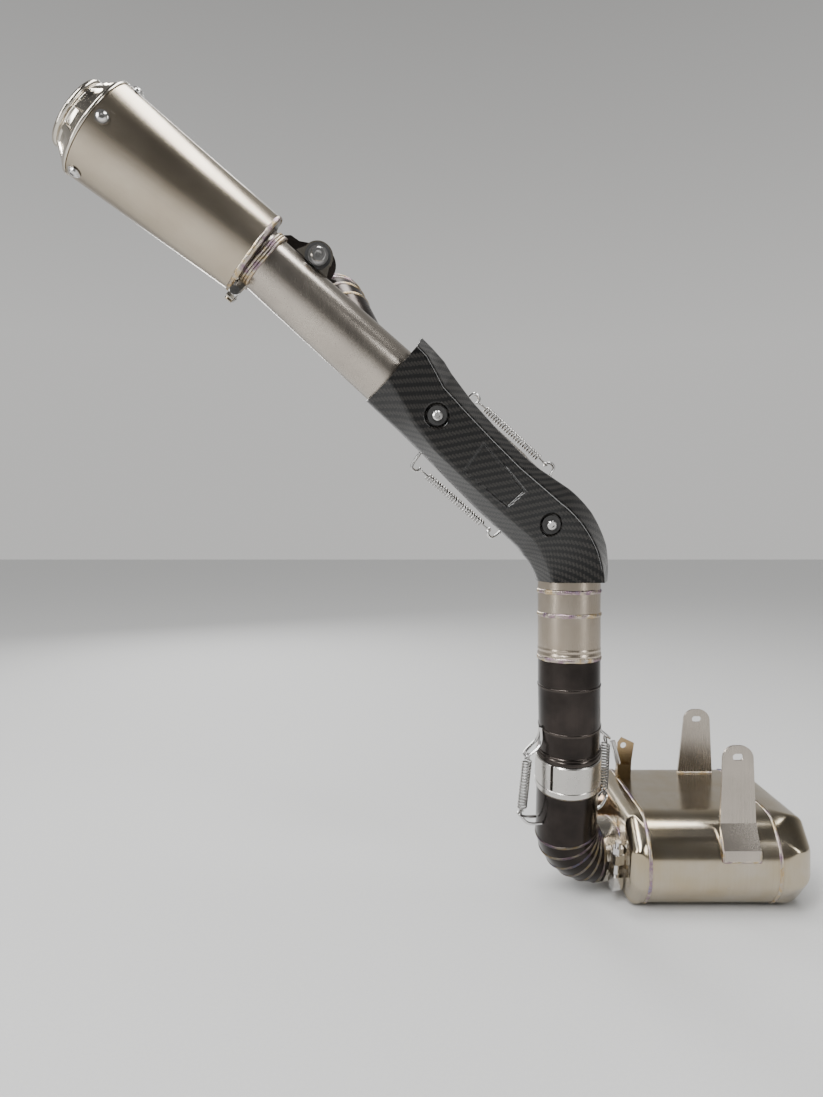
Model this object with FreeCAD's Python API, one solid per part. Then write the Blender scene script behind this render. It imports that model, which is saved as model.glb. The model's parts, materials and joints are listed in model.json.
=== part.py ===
"""Titanium racing exhaust: collector box, slip-jointed pipes, carbon heat shield and silencer.

Frame, in millimetres: origin at the centre of the collector inlet's mouth, +Z up,
+X from the inlet towards the collector box, -Y towards the rider's outer side of the pipes.
"""
import FreeCAD, Part
import math
import os

Vec = FreeCAD.Vector
X_AXIS = Vec(1, 0, 0)
Y_AXIS = Vec(0, 1, 0)
Z_AXIS = Vec(0, 0, 1)

# ---- driving dimensions -------------------------------------------------------------
GAP = 0.3                       # clearance between pieces of different moving bodies
WALL = 1.2                      # sheet thickness of pipes and caps
PIPE_R = 30.0                   # outer radius of the main pipe
PIPE_Y = -125.0                 # plane of the link pipe and the middle pipe

BEND_CORNER = Vec(-20.5, PIPE_Y, 311.4)
BEND_R = 85.0
LINK_START = Vec(-299.2, -208.0, 552.5)   # silencer joint, up and outwards from the bend
LINK_R0 = 26.0                  # link pipe radius at the silencer
LINK_R1 = 29.4                  # link pipe radius under the heat shield
SPIGOT_R = 29.0                 # machined end of the link pipe in its socket
RUNNING = 0.06                  # radial clearance of the slip joints

SILENCER_END = Vec(-422.8, -251.5, 644.8)  # centre of the sleeve's outlet end
SILENCER_BACK = 10.3            # sleeve starts this far before the link pipe's joint
SLEEVE_R0 = 37.9                # at the inlet end
SLEEVE_R1 = 43.3                # at the outlet end
CAP_LENGTH = 16.5
OUTLET_R = 30.5                 # rolled outlet ring
CORE_R = 23.0                   # perforated core
SOCKET_R = LINK_R0 + RUNNING    # bore of the silencer's inlet spigot
SCREW_TURN = 6.0                # first cap screw, from the outward side
SCREW_INSET = 8.0               # cap screws, from the sleeve's outlet end

LEAN_CORNER = Vec(-20.5, PIPE_Y, 171.4)
COLLAR_TOP = Vec(-19.0, -118.5, 131.0)   # mitre where the leaning pipe straightens
ELBOW_CORNER = Vec(-17.0, -81.0, -11.0)
ELBOW_R = 36.0
ELBOW_CUTS = 6
STUB_YAW = 15.0                 # the box outlet stub points this far behind +X
COLLAR_R = 32.5
COLLAR_FROM = 31.0              # collar ends, measured down the leaning pipe
COLLAR_TO = 64.0

BOX_X0 = 54.6
BOX_X1 = 178.8
BOX_CENTRE_Y = -42.0
BOX_CENTRE_Z = -4.0
BOX_HALF_Y = 99.0
BOX_HALF_Z = 45.0
BOX_FLAT_Y = 73.0               # half width of the flat top
BOX_FLAT_Z = 18.0               # half height of the flat front
BOX_CORNER_R = 14.0
LEFT_CAP = 18.0
RIGHT_CAP = 34.0

STUB_R = 31.0
INLET_BORE_R = 29.2
TAB_WIDTH = 29.6
TAB_THICK = 3.0
TAB_CORNER_R = 12.5
SLOT_R = 3.3
SLOT_LENGTH = 10.6
M8_R = 4.0
M6_R = 3.0

HANGER_ALONG = 31.6             # bolt axis, along the link pipe
HANGER_UP = 35.0
PLATE_BACK = -44.0              # rear face of the chassis plate, behind the silencer
PLATE_THICK = 3.0
BRANCH_ALONG = 112.0            # branch elbow, along the link pipe
BRANCH_R = 24.0
SLIP_FROM = 246.0               # mouth of the upper socket, along the link pipe
SLIP_TO = 288.0
NECK_END = 239.1                # height of the weld between neck and sleeve
SLEEVE_END = 197.5              # height of the weld between sleeve and leaning pipe

UPPER_COIL_R = 3.2
LOWER_COIL_R = 4.8
WIRE_R = 0.9
HOOK_R = 1.5                    # wire of the welded hooks
RIGHT_UP = 38.5                 # upper springs, from the link axis
LEFT_UP = -44.5
LINK_HOOK_AT = 217.0            # upper springs' hooks, along the link pipe
BEND_HOOK_AT = 317.0
SPRING_TOP = 24.0               # lower springs' ends, down the leaning pipe
SPRING_BOTTOM = 88.5
LOWER_SPRINGS = ((160, 44.7, 50.5), (-20, 42, 42))   # turn about the axis, radius at top and bottom

SHIELD_THICK = 2.0
SHIELD_FROM = 144.0
SHIELD_SCREW_AT = 196.2         # upper screw, along the link pipe
SHIELD_FACE = 39.0              # front face, out from the pipe axis
SHIELD_EDGE = 6.0               # the sides stop here, in front of the springs

BRACKET_HOLE = Vec(62, 0, 75.5)  # hole of the plate welded on the box

# ---- directions -----------------------------------------------------------------------
def side_frame(direction):
    """Sideways and outward (-Y) unit vectors square to a pipe's direction."""
    out = Vec(0, -1, 0) + direction * direction.y
    out = Vec(out).normalize()
    up = out.cross(direction).normalize()
    return (up if up.x > 0 else up * -1), out


LINK_DIR = (BEND_CORNER - LINK_START).normalize()
LINK_LENGTH = (BEND_CORNER - LINK_START).Length
LINK_UP, LINK_OUT = side_frame(LINK_DIR)
SILENCER_START = LINK_START - LINK_DIR * SILENCER_BACK
SILENCER_DIR = (SILENCER_END - SILENCER_START).normalize()
SILENCER_UP, SILENCER_OUT = side_frame(SILENCER_DIR)
SLEEVE_LENGTH = (SILENCER_END - SILENCER_START).Length
LEAN_DIR = (ELBOW_CORNER - COLLAR_TOP).normalize()
STUB_DIR = Vec(math.cos(math.radians(STUB_YAW)), math.sin(math.radians(STUB_YAW)), 0)


def link(along, up=0.0, out=0.0):
    """Point at a distance along the link axis, offset up from it and out towards -Y."""
    return LINK_START + LINK_DIR * along + LINK_UP * up + LINK_OUT * out


def silencer(along, radius=0.0, turn=0.0):
    """Point along the silencer axis, at a radius and a turn from the outward (-Y) side."""
    a = math.radians(turn)
    side = SILENCER_OUT * math.cos(a) + SILENCER_UP * math.sin(a)
    return SILENCER_START + SILENCER_DIR * along + side * radius


def lean(along):
    """Point on the leaning pipe's axis, below its top mitre."""
    return COLLAR_TOP + LEAN_DIR * along


def collar_dir(turn):
    """Radial direction about the leaning axis, turned from +X towards -Y."""
    side = X_AXIS - LEAN_DIR * X_AXIS.dot(LEAN_DIR)
    side = Vec(side).normalize()
    front = side.cross(LEAN_DIR).normalize()
    if front.y > 0:
        front = front * -1
    a = math.radians(turn)
    return side * math.cos(a) + front * math.sin(a)


# ---- shape helpers --------------------------------------------------------------------
def at(shape, origin, direction):
    """Move a shape built along +Z so that it runs along a direction from an origin."""
    shape.Placement = FreeCAD.Placement(origin, FreeCAD.Rotation(Z_AXIS, direction))
    return shape


def revolved(profile, origin, direction):
    """Revolve a closed profile of (distance along, radius) points about an axis."""
    points = [Vec(radius, 0, along) for along, radius in profile]
    face = Part.Face(Part.makePolygon(points + points[:1]))
    return at(face.revolve(Vec(), Z_AXIS, 360), origin, direction)


def rod(start, end, radius):
    """Solid round bar between two points."""
    return Part.makeCylinder(radius, (end - start).Length, start, end - start)


def tube(start, end, outer, inner):
    """Straight tube between two points."""
    return rod(start, end, outer).cut(rod(start, end, inner))


def cone_tube(start, end, radius0, radius1, wall):
    """Tapered tube between two points."""
    length = (end - start).Length
    profile = [(0, radius0), (length, radius1), (length, radius1 - wall), (0, radius0 - wall)]
    return revolved(profile, start, end - start)


def mitred(points, radius):
    """Solid round bar along a polyline with mitred corners."""
    path = Part.makePolygon(points)
    start = Part.Wire(Part.makeCircle(radius, points[0], points[1] - points[0]))
    sweep = Part.BRepOffsetAPI.MakePipeShell(path)
    sweep.setTransitionMode(1)
    sweep.add(start)
    sweep.build()
    sweep.makeSolid()
    return Part.Solid(sweep.shape())


def mitred_tube(points, outer, inner):
    """Tube along a polyline with mitred corners."""
    return mitred(points, outer).cut(mitred(points, inner))


def elbow_points(corner, dir_in, dir_out, radius, cuts):
    """Polyline of a pie-cut elbow with equal cuts, tangent to both directions."""
    turn = dir_in.getAngle(dir_out)
    reach = radius * math.tan(turn / 2)
    start = corner - dir_in * reach
    axis = dir_in.cross(dir_out).normalize()
    to_start = axis.cross(dir_in).normalize() * -radius
    centre = start - to_start
    points = [start]
    for i in range(cuts):
        spin = FreeCAD.Rotation(axis, math.degrees(turn) * (i + 0.5) / cuts)
        points.append(centre + spin.multVec(to_start) * (1 / math.cos(turn / (2 * cuts))))
    points.append(corner + dir_out * reach)
    return points


def bend_solid(start, direction, centre, axis, degrees, radius):
    """Round bar bent about an axis through a centre."""
    face = Part.Face(Part.Wire(Part.makeCircle(radius, start, direction)))
    return face.revolve(centre, axis, degrees)


def oriented_box(origin, along, side, size):
    """Box centred on an origin, with its sizes along two directions and their normal."""
    third = along.cross(side).normalize()
    corners = []
    for a, b in ((-1, -1), (1, -1), (1, 1), (-1, 1)):
        corners.append(origin + along * (a * size[0] / 2) + side * (b * size[1] / 2) - third * (size[2] / 2))
    face = Part.Face(Part.makePolygon(corners + corners[:1]))
    return face.extrude(third * size[2])


def wire_path(points, wire):
    """Bent round wire through points, with ball joints at its corners."""
    shape = rod(points[0], points[1], wire)
    for i in range(1, len(points) - 1):
        shape = shape.fuse(Part.makeSphere(wire, points[i]))
        shape = shape.fuse(rod(points[i], points[i + 1], wire))
    return shape


def ring_of(make, count, first=0.0):
    """Group of equal pieces, one for each turn about an axis."""
    return Part.makeCompound([make(first + 360.0 * i / count) for i in range(count)])


def hex_head(origin, direction, across, height):
    """Hexagon prism on an axis."""
    radius = across / math.sqrt(3)
    corners = []
    for i in range(6):
        a = math.radians(60 * i)
        corners.append(Vec(radius * math.cos(a), radius * math.sin(a), 0))
    prism = Part.Face(Part.makePolygon(corners + corners[:1])).extrude(Vec(0, 0, height))
    return at(prism, origin, direction)


PARTS = {}


def keep(name, shape):
    PARTS[name] = shape


# ---- silencer -------------------------------------------------------------------------
def make_silencer():
    slope = (SLEEVE_R1 - SLEEVE_R0) / SLEEVE_LENGTH
    screw_at = SLEEVE_LENGTH - SCREW_INSET
    screw_r = SLEEVE_R0 + slope * screw_at
    inside0 = SLEEVE_R0 - WALL - 0.05
    inside1 = SLEEVE_R1 - WALL - 0.1
    sleeve = cone_tube(silencer(0), silencer(SLEEVE_LENGTH), SLEEVE_R0, SLEEVE_R1, WALL)
    joint = rod(link(-40), link(4), SOCKET_R + 1.45)
    inlet_cap = revolved(
        [(-4, SOCKET_R - 2), (-4, 29.5), (-2.6, 35.4), (-0.4, SLEEVE_R0 + 0.4), (0, SLEEVE_R0), (0, inside0),
         (12, inside0 + 12 * slope), (12, inside0 - 1.2 + 12 * slope), (1, inside0 - 1.2), (-1.4, 34.4),
         (-2.4, 29), (-2.4, SOCKET_R - 2)], silencer(0), SILENCER_DIR).cut(joint)
    spigot = tube(link(-34), link(3), SOCKET_R + 1.4, SOCKET_R)
    outlet_cap = revolved(
        [(-20, inside1 - 20 * slope), (0, inside1), (0.05, SLEEVE_R1 + 0.7), (2.6, SLEEVE_R1 + 0.5),
         (CAP_LENGTH, OUTLET_R), (CAP_LENGTH, OUTLET_R - 1.6), (2.2, inside1 - 1.6), (0, inside1 - 1.6),
         (-20, inside1 - 1.6 - 20 * slope)],
        SILENCER_END, SILENCER_DIR)
    outlet_ring = revolved(
        [(0.05, OUTLET_R), (3.5, OUTLET_R + 0.5), (5.5, OUTLET_R - 1), (5.5, CORE_R + 1.5), (-26, CORE_R + 1.2),
         (-26, CORE_R + 0.05), (4, CORE_R + 0.05), (4.6, OUTLET_R - 2.4), (0.05, OUTLET_R - 2.4)],
        silencer(SLEEVE_LENGTH + CAP_LENGTH), SILENCER_DIR)
    core_end = SLEEVE_LENGTH + CAP_LENGTH - 4
    core = tube(silencer(30), silencer(core_end), CORE_R, CORE_R - 1.0)
    core = core.cut(perforations(silencer(0), SILENCER_DIR, CORE_R, 36, SLEEVE_LENGTH - 24, 10))
    packing = revolved(
        [(32, CORE_R + 0.2), (32, inside0 - 0.3 + 32 * slope),
         (SLEEVE_LENGTH - 22, inside1 - 0.3 - 22 * slope), (SLEEVE_LENGTH - 22, CORE_R + 0.2)],
        silencer(0), SILENCER_DIR).cut(rod(link(-60), link(4), SOCKET_R + 1.8))

    def screw(turn):
        normal = silencer(0, 1, turn) - silencer(0)
        seat = silencer(screw_at, screw_r + 1.05, turn)
        head = revolved([(0, 0), (0, 4.4), (1.5, 3.9), (2.6, 2.4), (2.6, 1.4), (1.1, 1.4), (1.1, 0)], seat, normal)
        return head.fuse(rod(seat, seat - normal * 6.5, 2.0))

    def washer(turn):
        normal = silencer(0, 1, turn) - silencer(0)
        base = silencer(screw_at, screw_r + 0.25, turn)
        return tube(base, base + normal * 0.8, 5.4, 2.2)

    def bore(turn):
        return rod(silencer(screw_at, screw_r - 8, turn), silencer(screw_at, screw_r + 8, turn), 2.1)

    bores = ring_of(bore, 5, SCREW_TURN)
    keep("silencer_sleeve", sleeve.cut(bores))
    keep("silencer_outlet_cap", outlet_cap.cut(bores))
    keep("silencer_inlet_cap", inlet_cap)
    keep("silencer_spigot", spigot)
    keep("silencer_outlet_ring", outlet_ring)
    keep("silencer_core", core)
    keep("silencer_packing", largest(packing))
    keep("silencer_cap_screws", ring_of(screw, 5, SCREW_TURN))
    keep("silencer_cap_washers", ring_of(washer, 5, SCREW_TURN))


def perforations(origin, direction, radius, start, end, rows):
    """Rows of round holes through a perforated tube, as cross drillings."""
    spin = FreeCAD.Rotation(Z_AXIS, direction)
    holes = []
    pitch = (end - start) / rows
    for row in range(rows):
        middle = origin + direction * (start + pitch * (row + 0.5))
        for i in range(4):
            a = math.radians(45 * i + (22.5 if row % 2 else 0))
            side = spin.multVec(Vec(math.cos(a), math.sin(a), 0))
            holes.append(rod(middle - side * (radius + 2), middle + side * (radius + 2), 2.6))
    return Part.makeCompound(holes)


def make_silencer_clamp():
    """Band clamp that closes the silencer's inlet spigot on the link pipe."""
    inner = SOCKET_R + 1.45
    band = tube(link(-3.2), link(2.8), inner + 0.9, inner)
    down = (LINK_UP * -0.9 + LINK_OUT * 0.35).normalize()
    side = down.cross(LINK_DIR).normalize()
    centre = link(0.4)
    level = centre + down * (inner + 14)
    band = band.cut(oriented_box(centre + down * inner, down, LINK_DIR, (8, 12, 5)))
    hole = rod(level - side * 14, level + side * 14, 2.6)
    for sign in (-1, 1):
        ear = oriented_box(level - down * 3.7 + side * (sign * 3.6), down, LINK_DIR, (19.0, 6.8, 2.2))
        ear = ear.cut(rod(link(-10), link(6), inner + 0.2))
        band = band.fuse(ear.cut(hole))
    bolt = rod(level - side * 11, level + side * 4.8, 2.5).fuse(rod(level + side * 4.8, level + side * 9, 4.2))
    nut = hex_head(level - side * 8.9, side, 8, 4.0).cut(hole)
    keep("silencer_clamp_band", band)
    keep("silencer_clamp_bolt", bolt)
    keep("silencer_clamp_nut", nut)


# ---- link pipe ------------------------------------------------------------------------
def make_link():
    taper = 170.0
    outer = revolved(
        [(-12, LINK_R0), (5, LINK_R0), (taper, LINK_R1), (SLIP_FROM - 10, LINK_R1), (SLIP_FROM - 6, SPIGOT_R),
         (SLIP_TO - 4, SPIGOT_R), (SLIP_TO - 4, SPIGOT_R - WALL), (SLIP_FROM - 6, SPIGOT_R - WALL),
         (SLIP_FROM - 10, LINK_R1 - WALL), (taper, LINK_R1 - WALL), (5, LINK_R0 - WALL), (-12, LINK_R0 - WALL)],
        LINK_START, LINK_DIR)
    root, rest = branch_points()[:2]
    keep("link_tube", outer.cut(rod(root, rest, BRANCH_R - 3)))
    body = revolved([(0, 0), (0, LINK_R0), (5, LINK_R0), (taper, LINK_R1), (230, LINK_R1), (230, 0)],
                    LINK_START, LINK_DIR)
    branch = mitred_tube(branch_points(), BRANCH_R, BRANCH_R - WALL).cut(body)
    keep("branch_elbow", largest(branch))
    end = branch_points()[-1]
    way = (end - branch_points()[-2]).normalize()
    keep("branch_rim", tube(end - way * 5, end, BRANCH_R + 1.4, BRANCH_R + 0.05))


def largest(shape):
    """Largest solid of a shape."""
    return max(shape.Solids, key=lambda solid: solid.Volume)


def branch_points():
    """Polyline of the pie-cut branch, from inside the link pipe to its open end."""
    way_in = (LINK_OUT * -0.62 + LINK_UP * 0.35 - LINK_DIR * 0.70).normalize()
    way_out = Vec(-0.12, 0.97, 0.20).normalize()
    root = link(BRANCH_ALONG, 2, -6)
    bend = elbow_points(root + way_in * 66, way_in, way_out, 58, 4)
    return [root] + bend[1:-1] + [bend[-1] + way_out * 16]


def make_link_hooks():
    hooks = []
    for up in (RIGHT_UP, LEFT_UP):
        sign = 1 if up > 0 else -1
        foot = link(LINK_HOOK_AT, sign * (LINK_R1 - 2))
        tip = link(LINK_HOOK_AT - 1, up + sign * 0.5)
        hook = wire_path([foot, tip, link(LINK_HOOK_AT + 3.5, up + sign * 2.6)], HOOK_R)
        hooks.append(hook.cut(rod(link(180), link(235), LINK_R1 + 0.02)))
    keep("link_spring_hooks", Part.makeCompound(hooks))


def make_hanger():
    """Welded tab, rubber bush, bolt and the chassis plate behind them."""
    eye = link(HANGER_ALONG, HANGER_UP)
    out = LINK_OUT
    front = 6.0
    back = 3.5
    corners = [(-20, 16), (22, 16), (17, 27), (12, HANGER_UP + 2), (-12, HANGER_UP + 2), (-17, 27)]
    points = [link(HANGER_ALONG + a, u, front) for a, u in corners]
    wedge = Part.Face(Part.makePolygon(points + points[:1])).extrude(out * (back - front))
    tab = wedge.fuse(rod(eye + out * front, eye + out * back, 13.2))
    tab = tab.cut(rod(link(-12), link(120), LINK_R0 + 1.2)).cut(rod(eye + out * 20, eye - out * 20, 9.05))
    keep("hanger_tab", largest(tab.removeSplitter()))
    keep("hanger_bush", revolved(
        [(back - 3, 5.55), (back - 3, 11.4), (back - 0.05, 11.4), (back - 0.05, 9), (front + 0.05, 9),
         (front + 0.05, 11.4), (front + 3, 11.4), (front + 3, 5.55)], eye, out).cut(
             rod(link(-12), link(120), LINK_R0 + 1.2)))
    keep("hanger_sleeve", revolved([(back - 3.5, 4.1), (back - 3.5, 5.5), (front + 3.4, 5.5), (front + 3.4, 4.1)],
                                   eye, out))
    keep("hanger_washer", tube(eye + out * (front + 3.5), eye + out * (front + 4.9), 8.8, 4.1))
    keep("hanger_bolt", revolved(
        [(PLATE_BACK - 9, 0), (PLATE_BACK - 9, M8_R), (front + 5, M8_R), (front + 5, 6.2), (front + 11, 6.2), (front + 11.8, 5.6),
         (front + 11.8, 3.1), (front + 7.5, 3.1), (front + 7.5, 0)], eye, out))
    keep("hanger_spacer", tube(eye + out * (PLATE_BACK + PLATE_THICK + 0.05), eye + out * (back - 3.6), 7.0, 4.1))
    make_hanger_plate(eye)
    nut = hex_head(eye + out * (PLATE_BACK - 6.45), out, 13, 6.4)
    nut = nut.cut(rod(eye + out * (PLATE_BACK - 10), eye, M8_R + 0.05))
    keep("hanger_nut", nut)


def make_hanger_plate(eye):
    """Chassis plate behind the hanger and the silencer, with a round hole at its free end."""
    far = link(HANGER_ALONG - 66, HANGER_UP - 26)
    shift = LINK_OUT * PLATE_BACK
    outline = [link(19, 48.7), link(6.6, 40.6), link(-2.2, 39.4), link(-7.3, 34.5), link(-30, 21), far - LINK_DIR * 11,
               far - LINK_UP * 11, link(8, 10), link(24, 17)]
    face = Part.Face(Part.makePolygon([p + shift for p in outline + outline[:1]]))
    through = LINK_OUT * PLATE_THICK
    plate = face.extrude(through).fuse(rod(eye + shift, eye + shift + through, 18))
    plate = plate.fuse(rod(far + shift, far + shift + through, 11))
    for centre in (eye, far):
        plate = plate.cut(rod(centre + LINK_OUT * 60, centre - LINK_OUT * 60, M8_R + 0.2))
    keep("hanger_plate", largest(plate.removeSplitter().cut(PARTS["branch_elbow"])))


# ---- middle pipe ----------------------------------------------------------------------
def bend_frame():
    """Start, centre, axis, turn and reach of the bend between link and middle pipe."""
    down = Z_AXIS * -1
    turn = math.degrees(LINK_DIR.getAngle(down))
    reach = BEND_R * math.tan(math.radians(turn) / 2)
    axis = LINK_DIR.cross(down).normalize()
    start = BEND_CORNER - LINK_DIR * reach
    centre = start + axis.cross(LINK_DIR).normalize() * BEND_R
    return start, centre, axis, turn, reach


def bend_place(fraction):
    """Point and direction on the bend's axis, from its start (0) to its end (1)."""
    start, centre, axis, turn, reach = bend_frame()
    spin = FreeCAD.Rotation(axis, turn * fraction)
    return centre + spin.multVec(start - centre), spin.multVec(LINK_DIR)


def make_middle():
    """Upper socket, bend, neck, sleeve, leaning pipe and its machined end."""
    start, centre, axis, turn, reach = bend_frame()
    along = LINK_LENGTH - reach
    socket = revolved(
        [(SLIP_FROM, SPIGOT_R + RUNNING + 1.8), (SLIP_TO, SPIGOT_R + RUNNING + 1.8), (SLIP_TO + 6, PIPE_R),
         (along, PIPE_R), (along, PIPE_R - WALL), (SLIP_TO + 6, PIPE_R - WALL), (SLIP_TO + 4, SPIGOT_R + RUNNING),
         (SLIP_FROM, SPIGOT_R + RUNNING)], LINK_START, LINK_DIR)
    outer = bend_solid(start, LINK_DIR, centre, axis, turn, PIPE_R)
    inner = bend_solid(start, LINK_DIR, centre, axis, turn, PIPE_R - WALL)
    keep("upper_socket", socket)
    keep("middle_bend", outer.cut(inner))
    foot = BEND_CORNER - Z_AXIS * reach
    neck_end = Vec(foot.x, foot.y, NECK_END)
    keep("middle_neck", tube(foot, neck_end, PIPE_R, PIPE_R - WALL))
    sleeve = revolved([(0, PIPE_R), (0, PIPE_R - WALL), (41.6, PIPE_R - WALL), (41.6, PIPE_R + 0.6),
                       (37, PIPE_R + 0.6), (35, PIPE_R)], neck_end, Z_AXIS * -1)
    keep("middle_sleeve", sleeve)
    lower = [Vec(foot.x, foot.y, SLEEVE_END), LEAN_CORNER, COLLAR_TOP, lean(22)]
    keep("middle_leaning_pipe", mitred_tube(lower, PIPE_R, PIPE_R - WALL))
    spigot = revolved([(22, PIPE_R), (26, PIPE_R), (26, PIPE_R + 1.2), (30.4, PIPE_R + 1.2), (30.4, PIPE_R - 0.8),
                       (60, PIPE_R - 0.8), (60, PIPE_R - 2.2), (22, PIPE_R - 2.2)], COLLAR_TOP, LEAN_DIR)
    keep("lower_spigot", spigot)


def make_lower_hooks():
    """Wire loops that hold the lower springs on the leaning pipe and on the elbow."""
    above = mitred([LEAN_CORNER, COLLAR_TOP, lean(26)], PIPE_R + 0.02)
    above = above.fuse(rod(lean(25), lean(31), PIPE_R + 1.22))
    below = rod(lean(78), lean(113), PIPE_R + 0.62)
    upper = []
    lower = []
    for turn, top_r, bottom_r in LOWER_SPRINGS:
        side = collar_dir(turn)
        across = side.cross(LEAN_DIR).normalize()
        tip = lean(SPRING_TOP - 26) + side * (PIPE_R + 2.6)
        root = lean(SPRING_TOP - 10) + side * (PIPE_R + 1.2)
        eye = lean(SPRING_TOP - 4) + side * (top_r + 3.0)
        loop = wire_path([root - across * 4, eye - across * 3, eye + across * 3, root + across * 4], HOOK_R)
        loop = loop.fuse(wire_path([tip, root], 1.6)).fuse(Part.makeSphere(2.2, tip))
        upper.append(largest(loop.cut(above)))
        low = lean(SPRING_BOTTOM + 8) + side * (PIPE_R - 1)
        eye = lean(SPRING_BOTTOM + 3) + side * (bottom_r + 3.0)
        loop = wire_path([low - across * 4, eye - across * 3, eye + across * 3, low + across * 4], HOOK_R)
        lower.append(largest(loop.cut(below)))
    keep("collar_spring_hooks", Part.makeCompound(upper))
    keep("elbow_spring_hooks", Part.makeCompound(lower))


def spring(top, bottom, coil_r, hook, side):
    """Plain body of a tension spring: coil envelope and two end loops."""
    way = (bottom - top).normalize()
    first = top + way * hook
    last = bottom - way * hook
    edge = side * (coil_r - WIRE_R - 0.1)
    shape = tube(first, last, coil_r, coil_r - 2 * WIRE_R - 0.3)
    for end, near, inward in ((top, first, way), (bottom, last, way * -1)):
        path = [near + edge + inward * 0.6, end + edge, end - side]
        shape = shape.fuse(wire_path(path, WIRE_R - 0.05))
    return shape


def make_springs():
    for name, up in (("upper_spring_right", RIGHT_UP), ("upper_spring_left", LEFT_UP)):
        sign = 1 if up > 0 else -1
        top = link(LINK_HOOK_AT + 6.0, up + sign * 0.6)
        bottom = link(BEND_HOOK_AT - 6.0, up + sign * 0.6)
        keep(name, spring(top, bottom, UPPER_COIL_R, 8, LINK_OUT))
    for name, (turn, top_r, bottom_r) in zip(("lower_spring_left", "lower_spring_right"), LOWER_SPRINGS):
        side = collar_dir(turn)
        top = lean(SPRING_TOP) + side * top_r
        bottom = lean(SPRING_BOTTOM) + side * bottom_r
        keep(name, spring(top, bottom, LOWER_COIL_R, 6, LEAN_DIR.cross(side).normalize()))


def make_bend_hooks():
    hooks = []
    for up in (RIGHT_UP, LEFT_UP):
        sign = 1 if up > 0 else -1
        foot = link(BEND_HOOK_AT + 2, sign * (PIPE_R - 2))
        hook = wire_path([foot, link(BEND_HOOK_AT + 1, up + sign * 0.5),
                          link(BEND_HOOK_AT - 3.5, up + sign * 2.6)], HOOK_R)
        hooks.append(hook.cut(rod(link(296), link(337), PIPE_R + 0.02)))
    keep("bend_spring_hooks", Part.makeCompound(hooks))


# ---- carbon heat shield ---------------------------------------------------------------
def shield_stations():
    """Origin, direction and size of the shield's sections along the pipe.

    A size is the low and high edges, the high crease, and how far out the high side turns.
    """
    first = LINK_LENGTH - bend_frame()[4]
    rows = ((SHIELD_FROM, 31.4, 43, 31, 17), (185, 32.4, 37.5, 21, 17), (215, 34, 31.5, 18.5, 19),
            (250, 36.5, 27.5, 16, 24), (285, 38.5, 26, 14.5, 25), (first, 40, 29, 16, 23))
    stations = [(link(row[0]), LINK_DIR, row[1:]) for row in rows]
    for fraction, size in ((1 / 3, (40, 34, 19, 20)), (2 / 3, (37, 37, 23, 17)), (1, (33, 33.5, 26, 17))):
        stations.append((*bend_place(fraction), size))
    return stations


def shield_section(origin, direction, size):
    """Closed channel section, open towards +Y."""
    up, out = side_frame(direction)
    low, high, crease, turn = size
    high_edge = SHIELD_EDGE + 2 * (turn - 17)

    def outline(inset):
        face = SHIELD_FACE - inset
        return [(-low + inset, SHIELD_EDGE), (-low + inset, 17), (-25 + inset * 0.4, face),
                (crease - inset * 0.4, face), (high - inset, turn), (high - inset, high_edge)]

    points = [origin + up * a + out * b for a, b in outline(0) + outline(SHIELD_THICK)[::-1]]
    return Part.makePolygon(points + points[:1])


def make_shield():
    sections = [shield_section(*station) for station in shield_stations()]
    shell = Part.makeLoft(sections, True, True)
    screws = []
    washers = []
    for origin, out in screw_places():
        shell = shell.cut(rod(origin, origin + out * 60, M6_R + 0.4))
        face = origin + out * SHIELD_FACE
        washers.append(tube(face + out * 0.05, face + out * 1.2, 8.5, M6_R + 0.2).cut(shell))
        head = revolved([(1.3, 0), (1.3, 4.9), (3.4, 4.3), (4.4, 3.2), (4.4, 2.0), (2.6, 2.0), (2.6, 0)], face, out)
        screws.append(head.fuse(rod(origin + out * (PIPE_R + 4), face + out * 1.3, M6_R)))
    keep("heat_shield", shell)
    keep("shield_screws", Part.makeCompound(screws))
    keep("shield_washers", Part.makeCompound(washers))


def screw_places():
    """Axis origin and outward direction of the upper and lower shield screws."""
    origin, direction = bend_place(0.05)
    up, out = side_frame(direction)
    return ((link(SHIELD_SCREW_AT, -1.4), LINK_OUT), (origin - up * 5, out))


def make_saddles():
    """Bosses behind the shield: a floating one above, a welded one below."""
    bosses = []
    for (origin, out), clear in zip(screw_places(), (GAP + 0.9, 0.1)):
        boss = rod(origin + out * (PIPE_R + clear), origin + out * 36.8, 7.5)
        bosses.append(boss.cut(rod(origin, origin + out * 60, M6_R + 0.05)))
    keep("shield_bosses", Part.makeCompound(bosses))


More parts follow.
